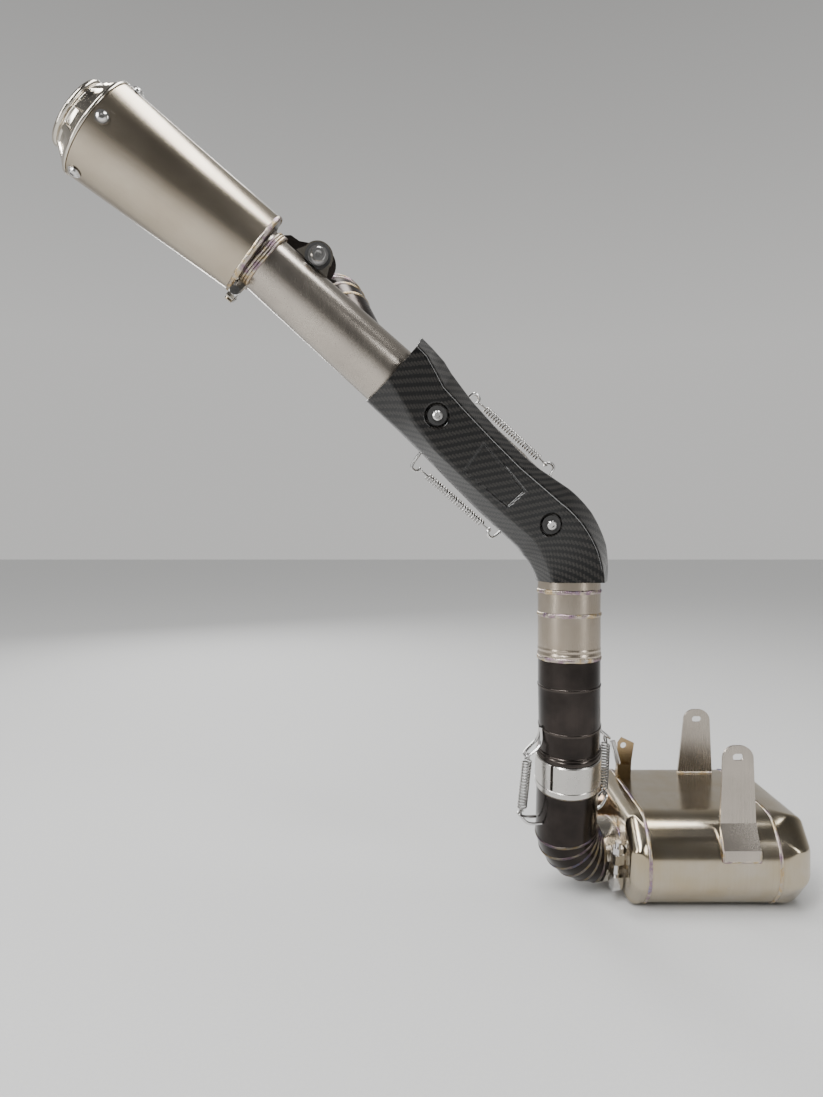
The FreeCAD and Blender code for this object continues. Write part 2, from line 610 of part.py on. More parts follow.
# ---- lower slip joint and elbow ---------------------------------------------------------
def make_collar_and_elbow():
    inner = PIPE_R - 0.8 + RUNNING
    collar = revolved(
        [(COLLAR_FROM, inner), (COLLAR_FROM, COLLAR_R - 1), (COLLAR_FROM + 1, COLLAR_R), (COLLAR_TO - 6, COLLAR_R),
         (COLLAR_TO - 5.5, COLLAR_R - 0.5), (COLLAR_TO - 5, COLLAR_R), (COLLAR_TO, COLLAR_R), (COLLAR_TO, inner)],
        COLLAR_TOP, LEAN_DIR)
    slots = []
    for turn in (128, 8):
        side = collar_dir(turn)
        slots.append(oriented_box(lean(43) + side * 32, LEAN_DIR, side, (30, 10, 3.0)))
    for slot in slots:
        collar = collar.cut(slot)
    keep("lower_collar", collar)
    points = elbow_points(ELBOW_CORNER, LEAN_DIR, STUB_DIR, ELBOW_R, ELBOW_CUTS)
    points = [lean(COLLAR_TO)] + points[1:]
    keep("lower_elbow", mitred_tube(points, PIPE_R + 0.6, PIPE_R - 0.6))
    return points[-1]


# ---- collector box ------------------------------------------------------------------------
def octagon(half_y, half_z, flat_y, flat_z, x):
    """Closed octagonal section of the box in a plane of constant X."""
    corners = []
    for sy, sz, order in ((1, 1, 0), (-1, 1, 1), (-1, -1, 0), (1, -1, 1)):
        pair = [(sy * half_y, sz * flat_z), (sy * flat_y, sz * half_z)]
        corners += pair if order == 0 else pair[::-1]
    return [Vec(x, BOX_CENTRE_Y + y, BOX_CENTRE_Z + z) for y, z in corners]


def prism(inset, x0, x1):
    """Solid octagonal prism with rounded long edges."""
    slant = inset * 0.42
    points = octagon(BOX_HALF_Y - inset, BOX_HALF_Z - inset, BOX_FLAT_Y - slant, BOX_FLAT_Z - slant, x0)
    solid = Part.Face(Part.makePolygon(points + points[:1])).extrude(Vec(x1 - x0, 0, 0))
    edges = [e for e in solid.Edges if abs(e.Vertexes[0].Point.x - e.Vertexes[1].Point.x) > 1]
    return solid.makeFillet(max(BOX_CORNER_R - inset, 2.0), edges)


def loft_cap(steps, inset):
    """Solid end cap through octagons given by X, shrink and lift."""
    wires = []
    for x, shrink, lift in steps:
        slant = (inset + shrink) * 0.42
        points = octagon(BOX_HALF_Y - inset - shrink, BOX_HALF_Z - inset - shrink, BOX_FLAT_Y - slant,
                         BOX_FLAT_Z - slant, x)
        points = [point + Z_AXIS * lift for point in points]
        wires.append(Part.makePolygon(points + points[:1]))
    return Part.makeLoft(wires, True, True)


def make_box(stub_end):
    shell = prism(0, BOX_X0, BOX_X1).cut(prism(1.5, BOX_X0 - 1, BOX_X1 + 1))
    keep("collector_shell", shell)
    left = ((BOX_X0 - 0.05, 0, 0), (BOX_X0 - 8, 3, 0), (BOX_X0 - LEFT_CAP, 14, 0))
    left_in = ((BOX_X0 + 0.5, 0, 0), (BOX_X0 - 7.5, 3, 0), (BOX_X0 - LEFT_CAP + 1.5, 14, 0))
    cap = loft_cap(left, 0).cut(loft_cap(left_in, 1.5))
    right = ((BOX_X1 + 0.05, 0, 0), (BOX_X1 + 13, 2, 0.5), (BOX_X1 + 25, 8, 3), (BOX_X1 + RIGHT_CAP, 20, 6))
    right_in = ((BOX_X1 - 0.5, 0, 0), (BOX_X1 + 13, 2, 0.5), (BOX_X1 + 24.5, 8, 3),
                (BOX_X1 + RIGHT_CAP - 1.5, 20, 6))
    keep("collector_right_cap", loft_cap(right, 0).cut(loft_cap(right_in, 1.5)))
    inlet_bar = rod(Vec(0, 0, 0), Vec(60, 0, 0), STUB_R + 0.05)
    outlet_bar = rod(stub_end, stub_end + STUB_DIR * 60, STUB_R + 0.05)
    keep("collector_left_cap", cap.cut(inlet_bar).cut(outlet_bar))
    keep("inlet_stub", slotted_stub())
    reach = 42.0
    stub = tube(stub_end + STUB_DIR * 0.05, stub_end + STUB_DIR * reach, STUB_R, STUB_R - 1.2)
    keep("outlet_stub", stub)
    make_internals(stub_end + STUB_DIR * reach)


def slotted_stub():
    """Clamp end of the inlet stub: four slots let its mouth close on the header pipe."""
    stub = tube(Vec(0, 0, 0), Vec(60, 0, 0), STUB_R, INLET_BORE_R)
    for turn in range(4):
        a = math.radians(45 + 90 * turn)
        side = Vec(0, math.cos(a), math.sin(a))
        stub = stub.cut(oriented_box(Vec(7, 0, 0) + side * STUB_R, X_AXIS, side, (20, 10, 2.5)))
    return stub


def make_internals(outlet_inner):
    baffle_x = 128.0
    baffle = prism(1.7, baffle_x, baffle_x + 1.5)
    inlet_line = (Vec(60.05, 0, 0), Vec(150, 0, 0))
    outlet_line = (outlet_inner + X_AXIS * 2.0, Vec(150, outlet_inner.y, outlet_inner.z))
    for start, end in (inlet_line, outlet_line):
        baffle = baffle.cut(rod(start, end, 28.05))
    holes = []
    for row in range(-1, 2):
        for col in range(3):
            holes.append(rod(Vec(120, -118 + 12 * col, BOX_CENTRE_Z + 18 * row), Vec(140, -118 + 12 * col,
                             BOX_CENTRE_Z + 18 * row), 3))
    keep("collector_baffle", baffle.cut(Part.makeCompound(holes)))
    for name, (start, end) in (("collector_inlet_core", inlet_line), ("collector_outlet_core", outlet_line)):
        way = (end - start).normalize()
        core = tube(start, end, 28.0, 27.0)
        keep(name, core.cut(perforations(start, way, 28.0, 6, 54, 4)))


def make_tabs():
    near = slotted_tab(141.0, -131.0, 101.4, 36.0, 2.4)
    far = slotted_tab(148.0, 10.0, 102.0, BOX_CENTRE_Z + BOX_HALF_Z - 0.4, 6.9)
    box = prism(-0.05, BOX_X0, BOX_X1)
    half = TAB_WIDTH / 2 + 2.6
    edge = [(-131, 38), (-142.6, 16), (-142.6, 5), (-139, 5), (-128, 36), (-128, 38)]
    points = [Vec(141 - half, y, z) for y, z in edge]
    foot = Part.Face(Part.makePolygon(points + points[:1])).extrude(X_AXIS * (2 * half))
    keep("near_tab", largest(near.fuse(foot).cut(box).removeSplitter()))
    keep("far_tab", largest(far.cut(box)))


def slotted_tab(x, y, slot_z, foot_z, spread):
    """Upright tab with a rounded top and a slot that runs along X."""
    half = TAB_WIDTH / 2
    top = slot_z + 11.0
    corner = TAB_CORNER_R
    points = [Vec(x - half - spread, y, foot_z), Vec(x + half + 2.4, y, foot_z), Vec(x + half, y, top - corner),
              Vec(x + half - corner, y, top), Vec(x - half + corner, y, top), Vec(x - half, y, top - corner)]
    face = Part.Face(Part.makePolygon(points + points[:1]))
    plate = face.extrude(Vec(0, TAB_THICK, 0))
    for side in (-1, 1):
        plate = plate.fuse(Part.makeCylinder(corner, TAB_THICK, Vec(x + side * (half - corner), y, top - corner),
                                             Y_AXIS))
    run = SLOT_LENGTH / 2 - SLOT_R
    slot = Part.makeBox(2 * run, TAB_THICK + 4, 2 * SLOT_R, Vec(x - run, y - 2, slot_z - SLOT_R))
    for side in (-1, 1):
        slot = slot.fuse(Part.makeCylinder(SLOT_R, TAB_THICK + 4, Vec(x + side * run, y - 2, slot_z), Y_AXIS))
    return plate.cut(slot).removeSplitter()


def make_band_clamp(prefix, centre, axis, towards, width, band_r):
    """T-bolt band clamp: band with a gap, two trunnion blocks, bolt and nut."""
    towards = (towards - axis * towards.dot(axis)).normalize()
    across = axis.cross(towards).normalize()
    band = revolved([(-width / 2, band_r), (width / 2, band_r), (width / 2, band_r + 1), (-width / 2, band_r + 1)],
                    centre, axis)
    band = band.cut(oriented_box(centre + towards * band_r, towards, axis, (10, width + 4, 9)))
    level = centre + towards * (band_r + 7)
    blocks = []
    for sign in (-1, 1):
        block = oriented_box(level + across * (sign * 11.5), towards, axis, (11.8, width * 0.72, 10))
        blocks.append(block)
    hole = rod(level - across * 40, level + across * 40, 3.2)
    ring = rod(centre - axis * width, centre + axis * width, band_r + 1.03)
    blocks = [block.cut(hole).cut(ring) for block in blocks]
    bolt = rod(level - across * 28, level + across * 17, 3.0).fuse(
        oriented_box(level + across * 18.6, towards, axis, (9, width * 0.7, 3.6)))
    nut = hex_head(level - across * 22.8, across, 10, 6).cut(hole)
    keep(prefix + "_clamp_band", band)
    return blocks, bolt, nut


def make_clamps(stub_end):
    outlet = make_band_clamp("outlet", stub_end + STUB_DIR * 4.6, STUB_DIR, Vec(0, -1.0, -0.12), 13.6, STUB_R + 0.1)
    inlet = make_band_clamp("inlet", Vec(9.5, 0, 0), X_AXIS, Vec(0, -0.5, 0.86), 15.0, STUB_R + 0.1)
    keep("clamp_blocks", Part.makeCompound(outlet[0] + inlet[0]))
    keep("clamp_t_bolts", Part.makeCompound([outlet[1], inlet[1]]))
    keep("clamp_nuts", Part.makeCompound([outlet[2], inlet[2]]))


def make_bracket():
    """Plate with a hole and a block for a stud, welded on the box's top left edge."""
    outline = [(56, 40), (70, 40), (71, 58), (74, 78), (60, 84.5), (55.5, 78), (55, 60)]
    points = [Vec(x, BRACKET_HOLE.y + 1.25, z) for x, z in outline]
    plate = Part.Face(Part.makePolygon(points + points[:1])).extrude(Y_AXIS * -2.5)
    block = oriented_box(Vec(60, BRACKET_HOLE.y - 6, 48.5), X_AXIS, Z_AXIS, (14, 17, 10))
    stud_foot = Vec(57.5, BRACKET_HOLE.y - 6.5, 47)
    stud_end = Vec(48.6, BRACKET_HOLE.y - 6.5, 82)
    stud = rod(stud_foot, stud_end, M6_R)
    bracket = plate.fuse(block).cut(rod(stud_foot, stud_end, M6_R + 0.02)).cut(prism(-0.05, BOX_X0, BOX_X1))
    bracket = bracket.cut(loft_cap(((BOX_X0 + 0.05, 0, 0), (BOX_X0 - 8, 3, 0), (BOX_X0 - LEFT_CAP, 14, 0)), -0.05))
    hole = rod(BRACKET_HOLE - Y_AXIS * 9, BRACKET_HOLE + Y_AXIS * 9, M6_R + 0.3)
    keep("inlet_bracket_plate", largest(bracket.cut(hole).removeSplitter()))
    keep("bracket_stud", stud)


# ---- assembly -----------------------------------------------------------------------------
def main():
    make_silencer()
    make_silencer_clamp()
    make_link()
    make_link_hooks()
    make_hanger()
    make_middle()
    make_lower_hooks()
    make_springs()
    make_bend_hooks()
    make_shield()
    make_saddles()
    stub_end = make_collar_and_elbow()
    make_box(stub_end)
    make_tabs()
    make_clamps(stub_end)
    make_bracket()
    os.makedirs("parts", exist_ok=True)
    for name, shape in PARTS.items():
        shape.exportStep("parts/" + name + ".step")
        print(name, len(shape.Solids), round(shape.Volume), shape.isValid())


main()
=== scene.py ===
"""Looks of the racing exhaust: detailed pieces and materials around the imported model."""
import json
import math
import bmesh
import bpy
import numpy as np
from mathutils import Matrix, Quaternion, Vector


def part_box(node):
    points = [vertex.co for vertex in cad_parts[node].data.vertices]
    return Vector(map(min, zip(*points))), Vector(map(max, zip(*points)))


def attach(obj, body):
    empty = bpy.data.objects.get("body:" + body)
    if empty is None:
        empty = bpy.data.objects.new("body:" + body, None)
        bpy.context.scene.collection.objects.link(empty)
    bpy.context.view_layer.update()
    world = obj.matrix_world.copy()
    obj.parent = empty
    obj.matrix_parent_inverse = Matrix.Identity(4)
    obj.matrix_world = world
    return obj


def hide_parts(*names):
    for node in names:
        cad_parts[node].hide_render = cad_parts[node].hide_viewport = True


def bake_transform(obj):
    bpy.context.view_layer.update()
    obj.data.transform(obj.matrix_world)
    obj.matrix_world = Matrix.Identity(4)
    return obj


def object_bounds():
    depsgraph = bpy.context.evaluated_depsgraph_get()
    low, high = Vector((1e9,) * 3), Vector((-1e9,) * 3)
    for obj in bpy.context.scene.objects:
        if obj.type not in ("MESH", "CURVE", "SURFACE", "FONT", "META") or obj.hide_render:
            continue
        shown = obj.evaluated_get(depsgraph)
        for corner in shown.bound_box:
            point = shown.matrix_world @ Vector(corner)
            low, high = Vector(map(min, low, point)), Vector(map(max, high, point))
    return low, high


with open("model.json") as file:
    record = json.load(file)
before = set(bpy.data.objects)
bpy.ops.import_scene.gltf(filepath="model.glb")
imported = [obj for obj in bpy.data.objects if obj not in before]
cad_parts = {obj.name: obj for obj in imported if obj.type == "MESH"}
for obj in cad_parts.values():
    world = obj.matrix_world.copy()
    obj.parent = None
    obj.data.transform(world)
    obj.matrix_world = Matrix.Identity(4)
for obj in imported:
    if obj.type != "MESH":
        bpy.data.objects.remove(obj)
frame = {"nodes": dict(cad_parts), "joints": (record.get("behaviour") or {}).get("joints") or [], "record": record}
cad_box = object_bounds()
NODES = frame["nodes"]
JOINTS = {joint["name"]: joint for joint in frame["joints"]}

X_AXIS = Vector((1, 0, 0))
DOWN = Vector((0, 0, -1))
# how near an end a vertex lies to count for that end's radius
END_ZONE = 2e-4

# ---- shapes read from the frame -------------------------------------------------------------
class Round:
    """Axis, ends and radii of a round CAD node, read from its mesh."""

    def __init__(self, node, guess):
        mesh = NODES[node].data
        count = len(mesh.polygons)
        area = np.empty(count)
        centre = np.empty(count * 3)
        normal = np.empty(count * 3)
        mesh.polygons.foreach_get("area", area)
        mesh.polygons.foreach_get("center", centre)
        mesh.polygons.foreach_get("normal", normal)
        centre = centre.reshape(-1, 3)
        normal = normal.reshape(-1, 3)
        middle = (centre * area[:, None]).sum(0) / area.sum()
        vectors = np.linalg.eigh((normal * area[:, None]).T @ normal)[1]
        axis = max(vectors.T, key=lambda vector: abs(vector @ np.array(guess)))
        axis = axis if axis @ np.array(guess) > 0 else -axis
        points = np.array([vertex.co for vertex in mesh.vertices])
        along = (points - middle) @ axis
        radius = np.linalg.norm(points - middle - np.outer(along, axis), axis=1)
        self.axis = Vector(axis)
        self.start = Vector(middle + axis * along.min())
        self.length = float(along.max() - along.min())
        self.end = self.start + self.axis * self.length
        self.r0 = float(radius[along < along.min() + END_ZONE].max())
        self.r1 = float(radius[along > along.max() - END_ZONE].max())


def side_frame(direction):
    """Sideways and outward (-Y) unit vectors square to a pipe's direction."""
    out = (Vector((0, -1, 0)) + direction * direction.y).normalized()
    up = out.cross(direction).normalized()
    return (up if up.x > 0 else -up), out


LINK_START = Vector(JOINTS["silencer_swivel"]["pos_m"])
LINK_DIR = -Vector(JOINTS["silencer_swivel"]["axis"])
LINK_UP, LINK_OUT = side_frame(LINK_DIR)
LEAN_DIR = -Vector(JOINTS["lower_swivel"]["axis"])
COLLAR_TOP = Vector(JOINTS["lower_swivel"]["pos_m"]) - LEAN_DIR * 0.050
NECK = Round("middle_neck", DOWN)
SOCKET = Round("upper_socket", LINK_DIR)
SLEEVE = Round("silencer_sleeve", -LINK_DIR)
CAP = Round("silencer_outlet_cap", SLEEVE.axis)
COLLAR = Round("lower_collar", LEAN_DIR)
STUB = Round("outlet_stub", X_AXIS)
PIPE_R = NECK.r0
BEND_TURN = LINK_DIR.angle(DOWN)
BEND_AXIS = LINK_DIR.cross(DOWN).normalized()
BEND_FROM = (SOCKET.end - LINK_START).dot(LINK_DIR)
BEND_R = (NECK.start - SOCKET.end).length / (2 * math.sin(BEND_TURN / 2))
BEND_CENTRE = SOCKET.end + BEND_AXIS.cross(LINK_DIR).normalized() * BEND_R


def link(along, up=0.0, out=0.0):
    """Point at a distance along the link axis, offset up from it and out towards -Y."""
    return LINK_START + LINK_DIR * along + LINK_UP * up + LINK_OUT * out


def lean(along):
    """Point on the leaning pipe's axis, below its top mitre."""
    return COLLAR_TOP + LEAN_DIR * along


def bend_place(fraction):
    """Point and direction on the bend's axis, from its start (0) to its end (1)."""
    spin = Quaternion(BEND_AXIS, BEND_TURN * fraction)
    return BEND_CENTRE + spin @ (SOCKET.end - BEND_CENTRE), spin @ LINK_DIR


def collar_dir(turn):
    """Radial direction about the leaning axis, turned from +X towards -Y, in degrees."""
    side = (X_AXIS - LEAN_DIR * X_AXIS.dot(LEAN_DIR)).normalized()
    front = side.cross(LEAN_DIR).normalized()
    front = -front if front.y > 0 else front
    return side * math.cos(math.radians(turn)) + front * math.sin(math.radians(turn))


# ---- mesh helpers ---------------------------------------------------------------------------
def smoothstep(low, high, value):
    t = np.clip((value - low) / (high - low), 0, 1)
    return t * t * (3 - 2 * t)


def surface(name, rings, wrap_along=False, caps=False, heat=None, sharp=35):
    """Mesh over closed rings of points, rings[along][across], with UVs in metres."""
    rings = np.asarray(rings, float)
    rows, columns = rings.shape[:2]
    step_across = np.linalg.norm(np.roll(rings, -1, 1) - rings, axis=2).mean(0)
    step_along = np.linalg.norm(np.roll(rings, -1, 0) - rings, axis=2).mean(1)
    across = np.concatenate([[0], np.cumsum(step_across)])
    along = np.concatenate([[0], np.cumsum(step_along)])
    faces = []
    places = []
    for i in range(rows if wrap_along else rows - 1):
        for j in range(columns):
            quad = ((i, j), (i, j + 1), (i + 1, j + 1), (i + 1, j))
            faces.append([(a % rows) * columns + b % columns for a, b in quad])
            places += [(across[b], along[a]) for a, b in quad]
    if caps:
        faces.append(list(range(columns))[::-1])
        faces.append([(rows - 1) * columns + j for j in range(columns)])
        places += [(across[j], 0) for j in range(columns)] * 2
    mesh = bpy.data.meshes.new(name)
    mesh.from_pydata(rings.reshape(-1, 3).tolist(), [], faces)
    layer = mesh.uv_layers.new(name="UVMap")
    layer.data.foreach_set("uv", np.array(places, np.float32).ravel())
    if heat is not None:
        attribute = mesh.attributes.new("heat", "FLOAT", "POINT")
        attribute.data.foreach_set("value", heat(rings.reshape(-1, 3)).astype(np.float32))
    mesh.polygons.foreach_set("use_smooth", [True] * len(faces))
    mesh.set_sharp_from_angle(angle=math.radians(sharp))
    mesh.update()
    piece = bpy.data.objects.new(name, mesh)
    bpy.context.scene.collection.objects.link(piece)
    fix_normals(mesh)
    return piece


def fix_normals(mesh):
    """Turn every face outwards."""
    work = bmesh.new()
    work.from_mesh(mesh)
    bmesh.ops.recalc_face_normals(work, faces=work.faces)
    work.to_mesh(mesh)
    work.free()


def place(piece, body, slot, material, *nodes):
    """Give a piece its finish, its body and the CAD nodes that it stands for; the slot argument is not used."""
    piece.data.materials.clear()
    piece.data.materials.append(material)
    if nodes:
        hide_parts(*nodes)
    if body:
        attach(piece, body)
    return piece


def circle_frame(axis):
    """Two unit vectors square to an axis."""
    first = axis.orthogonal().normalized()
    return np.array(first), np.array(axis.cross(first).normalized())


def revolved(name, profile, origin, axis, segments=128, heat=None, sharp=35, shape=None):
    """Turned piece from a closed profile of (along, radius); shape may move its points."""
    first, second = circle_frame(axis)
    turn = np.linspace(0, 2 * math.pi, segments, endpoint=False)
    along = np.array([point[0] for point in profile])[:, None] + 0 * turn
    radius = np.array([point[1] for point in profile])[:, None] + 0 * turn
    if shape:
        along, radius = shape(along, radius, turn[None, :] + 0 * along)
    spoke = np.cos(turn)[:, None] * first + np.sin(turn)[:, None] * second
    rings = np.array(origin) + along[..., None] * np.array(axis) + radius[..., None] * spoke[None]
    return surface(name, rings, wrap_along=True, heat=heat, sharp=sharp)


def resampled(points, step):
    """Points at even distances along a polyline."""
    points = np.array([tuple(point) for point in points])
    length = np.concatenate([[0], np.cumsum(np.linalg.norm(np.diff(points, axis=0), axis=1))])
    wanted = np.linspace(0, length[-1], max(int(length[-1] / step), 2) + 1)
    return np.stack([np.interp(wanted, length, points[:, k]) for k in range(3)], 1)


def smoothed(points, rounds=3):
    """Corner-cut open polyline that keeps its ends."""
    points = np.array([tuple(point) for point in points])
    for _ in range(rounds):
        near = points[:-1] * 0.75 + points[1:] * 0.25
        far = points[:-1] * 0.25 + points[1:] * 0.75
        middle = np.stack([near, far], 1).reshape(-1, 3)
        points = np.concatenate([points[:1], middle[1:-1], points[-1:]])
    return points


def swept(points, radius, sides=10):
    """Rings of a round wire along points, with frames carried without twist."""
    points = np.asarray(points, float)
    ahead = np.roll(points, -1, 0) - points
    back = points - np.roll(points, 1, 0)
    way = ahead / np.linalg.norm(ahead, axis=1)[:, None] + back / np.linalg.norm(back, axis=1)[:, None]
    way[0] = ahead[0]
    way[-1] = back[-1]
    way /= np.linalg.norm(way, axis=1)[:, None]
    side = np.array(Vector(way[0]).orthogonal().normalized())
    turn = np.linspace(0, 2 * math.pi, sides, endpoint=False)
    rings = []
    for point, direction in zip(points, way):
        side = side - direction * (side @ direction)
        side /= np.linalg.norm(side)
        other = np.cross(direction, side)
        rings.append(point + radius * (np.cos(turn)[:, None] * side + np.sin(turn)[:, None] * other))
    return np.array(rings)


def wire(name, paths, radius):
    """One piece of several round wires, each a smooth path."""
    pieces = []
    for path in paths:
        pieces.append(surface(name, swept(resampled(smoothed(path), radius * 0.8), radius), caps=True))
    return joined(pieces)


def joined(pieces):
    """Pieces joined into the first one."""
    bpy.ops.object.select_all(action="DESELECT")
    for piece in pieces:
        piece.select_set(True)
    bpy.context.view_layer.objects.active = pieces[0]
    if len(pieces) > 1:
        bpy.ops.object.join()
    return pieces[0]


BEAD_PITCH = 0.0016
RIPPLE_STEPS = 4


def bead(name, points, outs, width, height, closed=True):
    """Weld bead with overlapping ripples along a path on a surface."""
    points = np.asarray(points, float)
    outs = np.asarray(outs, float)
    if closed:
        points = np.concatenate([points, points[:1]])
        outs = np.concatenate([outs, outs[:1]])
    length = np.concatenate([[0], np.cumsum(np.linalg.norm(np.diff(points, axis=0), axis=1))])
    count = max(int(length[-1] / BEAD_PITCH), 2) * RIPPLE_STEPS
    wanted = np.linspace(0, length[-1], count, endpoint=not closed)
    points = np.stack([np.interp(wanted, length, points[:, k]) for k in range(3)], 1)
    outs = np.stack([np.interp(wanted, length, outs[:, k]) for k in range(3)], 1)
    outs /= np.linalg.norm(outs, axis=1)[:, None]
    ahead = np.roll(points, -1, 0) - points
    if not closed:
        ahead[-1] = ahead[-2]
    ahead /= np.linalg.norm(ahead, axis=1)[:, None]
    side = np.cross(ahead, outs)
    ripple = (np.arange(count) % RIPPLE_STEPS) / RIPPLE_STEPS
    lift = height * (0.72 + 0.5 * ripple)[:, None, None]
    spread = width * (0.93 + 0.12 * np.sin(wanted * 310) * np.sin(wanted * 97 + 1))[:, None, None]
    turn = np.linspace(0, 2 * math.pi, 10, endpoint=False)
    arc = np.cos(turn)[None, :, None] * side[:, None, :] * spread / 2
    rise = np.sin(turn)[None, :, None] * outs[:, None, :] * lift
    lean_back = -ahead[:, None, :] * (np.cos(turn)[None, :, None] ** 2) * 0.0006
    rings = points[:, None, :] + arc + rise + lean_back
    return surface(name, rings, wrap_along=closed, caps=not closed, sharp=60)


def ring_bead(name, origin, axis, radius, width, height, plane=None):
    """Weld bead round a pipe, square to it or in the plane of a mitre."""
    first, second = circle_frame(axis)
    turn = np.linspace(0, 2 * math.pi, 96, endpoint=False)
    outs = np.cos(turn)[:, None] * first + np.sin(turn)[:, None] * second
    points = np.array(origin) + outs * radius
    if plane is not None:
        drop = (outs * radius) @ np.array(plane) / axis.dot(plane)
        points = points - drop[:, None] * np.array(axis)
    return bead(name, points, outs, width, height)


def mitres_of(points):
    """Inner corners of a polyline, each with the direction before it and its mitre plane's normal."""
    mitres = []
    for i in range(1, len(points) - 1):
        before = (points[i] - points[i - 1]).normalized()
        after = (points[i + 1] - points[i]).normalized()
        mitres.append((points[i], before, (before + after).normalized()))
    return mitres


def mitre_beads(name, points, radius, width, height):
    """Weld beads in the mitre planes of a pie-cut pipe."""
    return joined([ring_bead(name, corner, before, radius, width, height, plane)
                   for corner, before, plane in mitres_of(points)])


def elbow_points(corner, way_in, way_out, radius, cuts):
    """Polyline of a pie-cut elbow with equal cuts, tangent to both directions."""
    turn = way_in.angle(way_out)
    reach = radius * math.tan(turn / 2)
    start = corner - way_in * reach
    axis = way_in.cross(way_out).normalized()
    spoke = axis.cross(way_in).normalized() * -radius
    centre = start - spoke
    points = [start]
    for i in range(cuts):
        spin = Quaternion(axis, turn * (i + 0.5) / cuts)
        points.append(centre + spin @ spoke / math.cos(turn / (2 * cuts)))
    return points + [corner + way_out * reach]


# ---- materials ------------------------------------------------------------------------------
class Finish:
    """Node material built step by step."""

    def __init__(self, name):
        self.material = bpy.data.materials.new(name)
        self.material.use_nodes = True
        self.tree = self.material.node_tree
        self.shader = self.tree.nodes["Principled BSDF"]

    def add(self, kind, inputs=(), **settings):
        node = self.tree.nodes.new(kind)
        for key, value in settings.items():
            setattr(node, key, value)
        for key, value in dict(inputs).items():
            self.set(node, key, value)
        return node

    def set(self, node, key, value):
        if isinstance(value, bpy.types.NodeSocket):
            self.tree.links.new(value, node.inputs[key])
        else:
            node.inputs[key].default_value = value

    def shade(self, **values):
        for key, value in values.items():
            self.set(self.shader, key.replace("_", " "), value)

    def math(self, operation, a, b=0.0, c=0.0):
        return self.add("ShaderNodeMath", {0: a, 1: b, 2: c}, operation=operation).outputs[0]

    def noise(self, vector, scale, detail=4.0, rough=0.55):
        inputs = {"Vector": vector, "Scale": scale, "Detail": detail, "Roughness": rough}
        return self.add("ShaderNodeTexNoise", inputs).outputs["Fac"]

    def stretched(self, vector, scale):
        return self.add("ShaderNodeMapping", {"Vector": vector, "Scale": scale}).outputs[0]

    def remap(self, value, low, high, to_low, to_high):
        inputs = {"Value": value, "From Min": low, "From Max": high, "To Min": to_low, "To Max": to_high}
        return self.add("ShaderNodeMapRange", inputs).outputs[0]

    def mix(self, factor, a, b, blend="MIX"):
        node = self.add("ShaderNodeMix", data_type="RGBA", blend_type=blend)
        for key, value in ((0, factor), (6, a), (7, b)):
            self.set(node, key, value)
        return node.outputs[2]

    def ramp(self, value, stops):
        node = self.add("ShaderNodeValToRGB", {"Fac": value})
        elements = node.color_ramp.elements
        for k, (position, colour) in enumerate(stops):
            element = elements[k] if k < 2 else elements.new(position)
            element.position = position
            element.color = (*colour, 1)
        return node.outputs["Color"]

    def bump(self, height, strength, distance):
        inputs = {"Height": height, "Strength": strength, "Distance": distance}
        return self.add("ShaderNodeBump", inputs).outputs[0]


def rgb(r, g, b):
    return (r, g, b, 1)


HEAT_STOPS = ((0.0, (0.62, 0.59, 0.55)), (0.25, (0.70, 0.58, 0.38)), (0.45, (0.62, 0.40, 0.17)),
              (0.62, (0.38, 0.17, 0.22)), (0.76, (0.15, 0.16, 0.40)), (0.9, (0.30, 0.42, 0.55)),
              (1.0, (0.55, 0.53, 0.50)))
LINE_DEPTH = 0.00005


def brushed(name, base, worn, rough, brush=(60, 2500), use_uv=False, heated=True, tint=1.0):
    """Brushed metal: fine lines, cloudy patina, smudges and heat tint where the mesh says."""
    f = Finish(name)
    coordinates = f.add("ShaderNodeTexCoord")
    vector = coordinates.outputs["UV" if use_uv else "Object"]
    scale = (brush[0], brush[1], 1) if use_uv else (brush[0], brush[0], brush[1])
    lines = f.noise(f.stretched(vector, scale), 1.0, 3.0, 0.5)
    cloud = f.noise(coordinates.outputs["Object"], 26.0, 3.0, 0.6)
    smudge = f.noise(coordinates.outputs["Object"], 30.0, 2.0, 0.5)
    colour = f.mix(f.remap(cloud, 0.35, 0.68, 0.0, 1.0), rgb(*base), rgb(*worn))
    colour = f.mix(f.remap(lines, 0.3, 0.7, 0.0, 0.25), colour, rgb(*[c * 0.75 for c in base]))
    if heated:
        heat = f.add("ShaderNodeAttribute", attribute_name="heat").outputs["Fac"]
        wander = f.math("MULTIPLY_ADD", f.math("SUBTRACT", cloud, 0.5), 0.25, heat)
        zone = f.remap(heat, 0.03, 0.3, 0.0, tint)
        colour = f.mix(zone, colour, f.ramp(wander, HEAT_STOPS))
    spread = f.remap(lines, 0.3, 0.7, rough - 0.02, rough + 0.02)
    f.shade(Base_Color=colour, Metallic=1.0,
            Roughness=f.math("ADD", f.remap(smudge, 0.4, 0.75, 0.0, 0.03), spread))
    f.shade(Normal=f.bump(lines, 0.01, LINE_DEPTH))
    return f.material


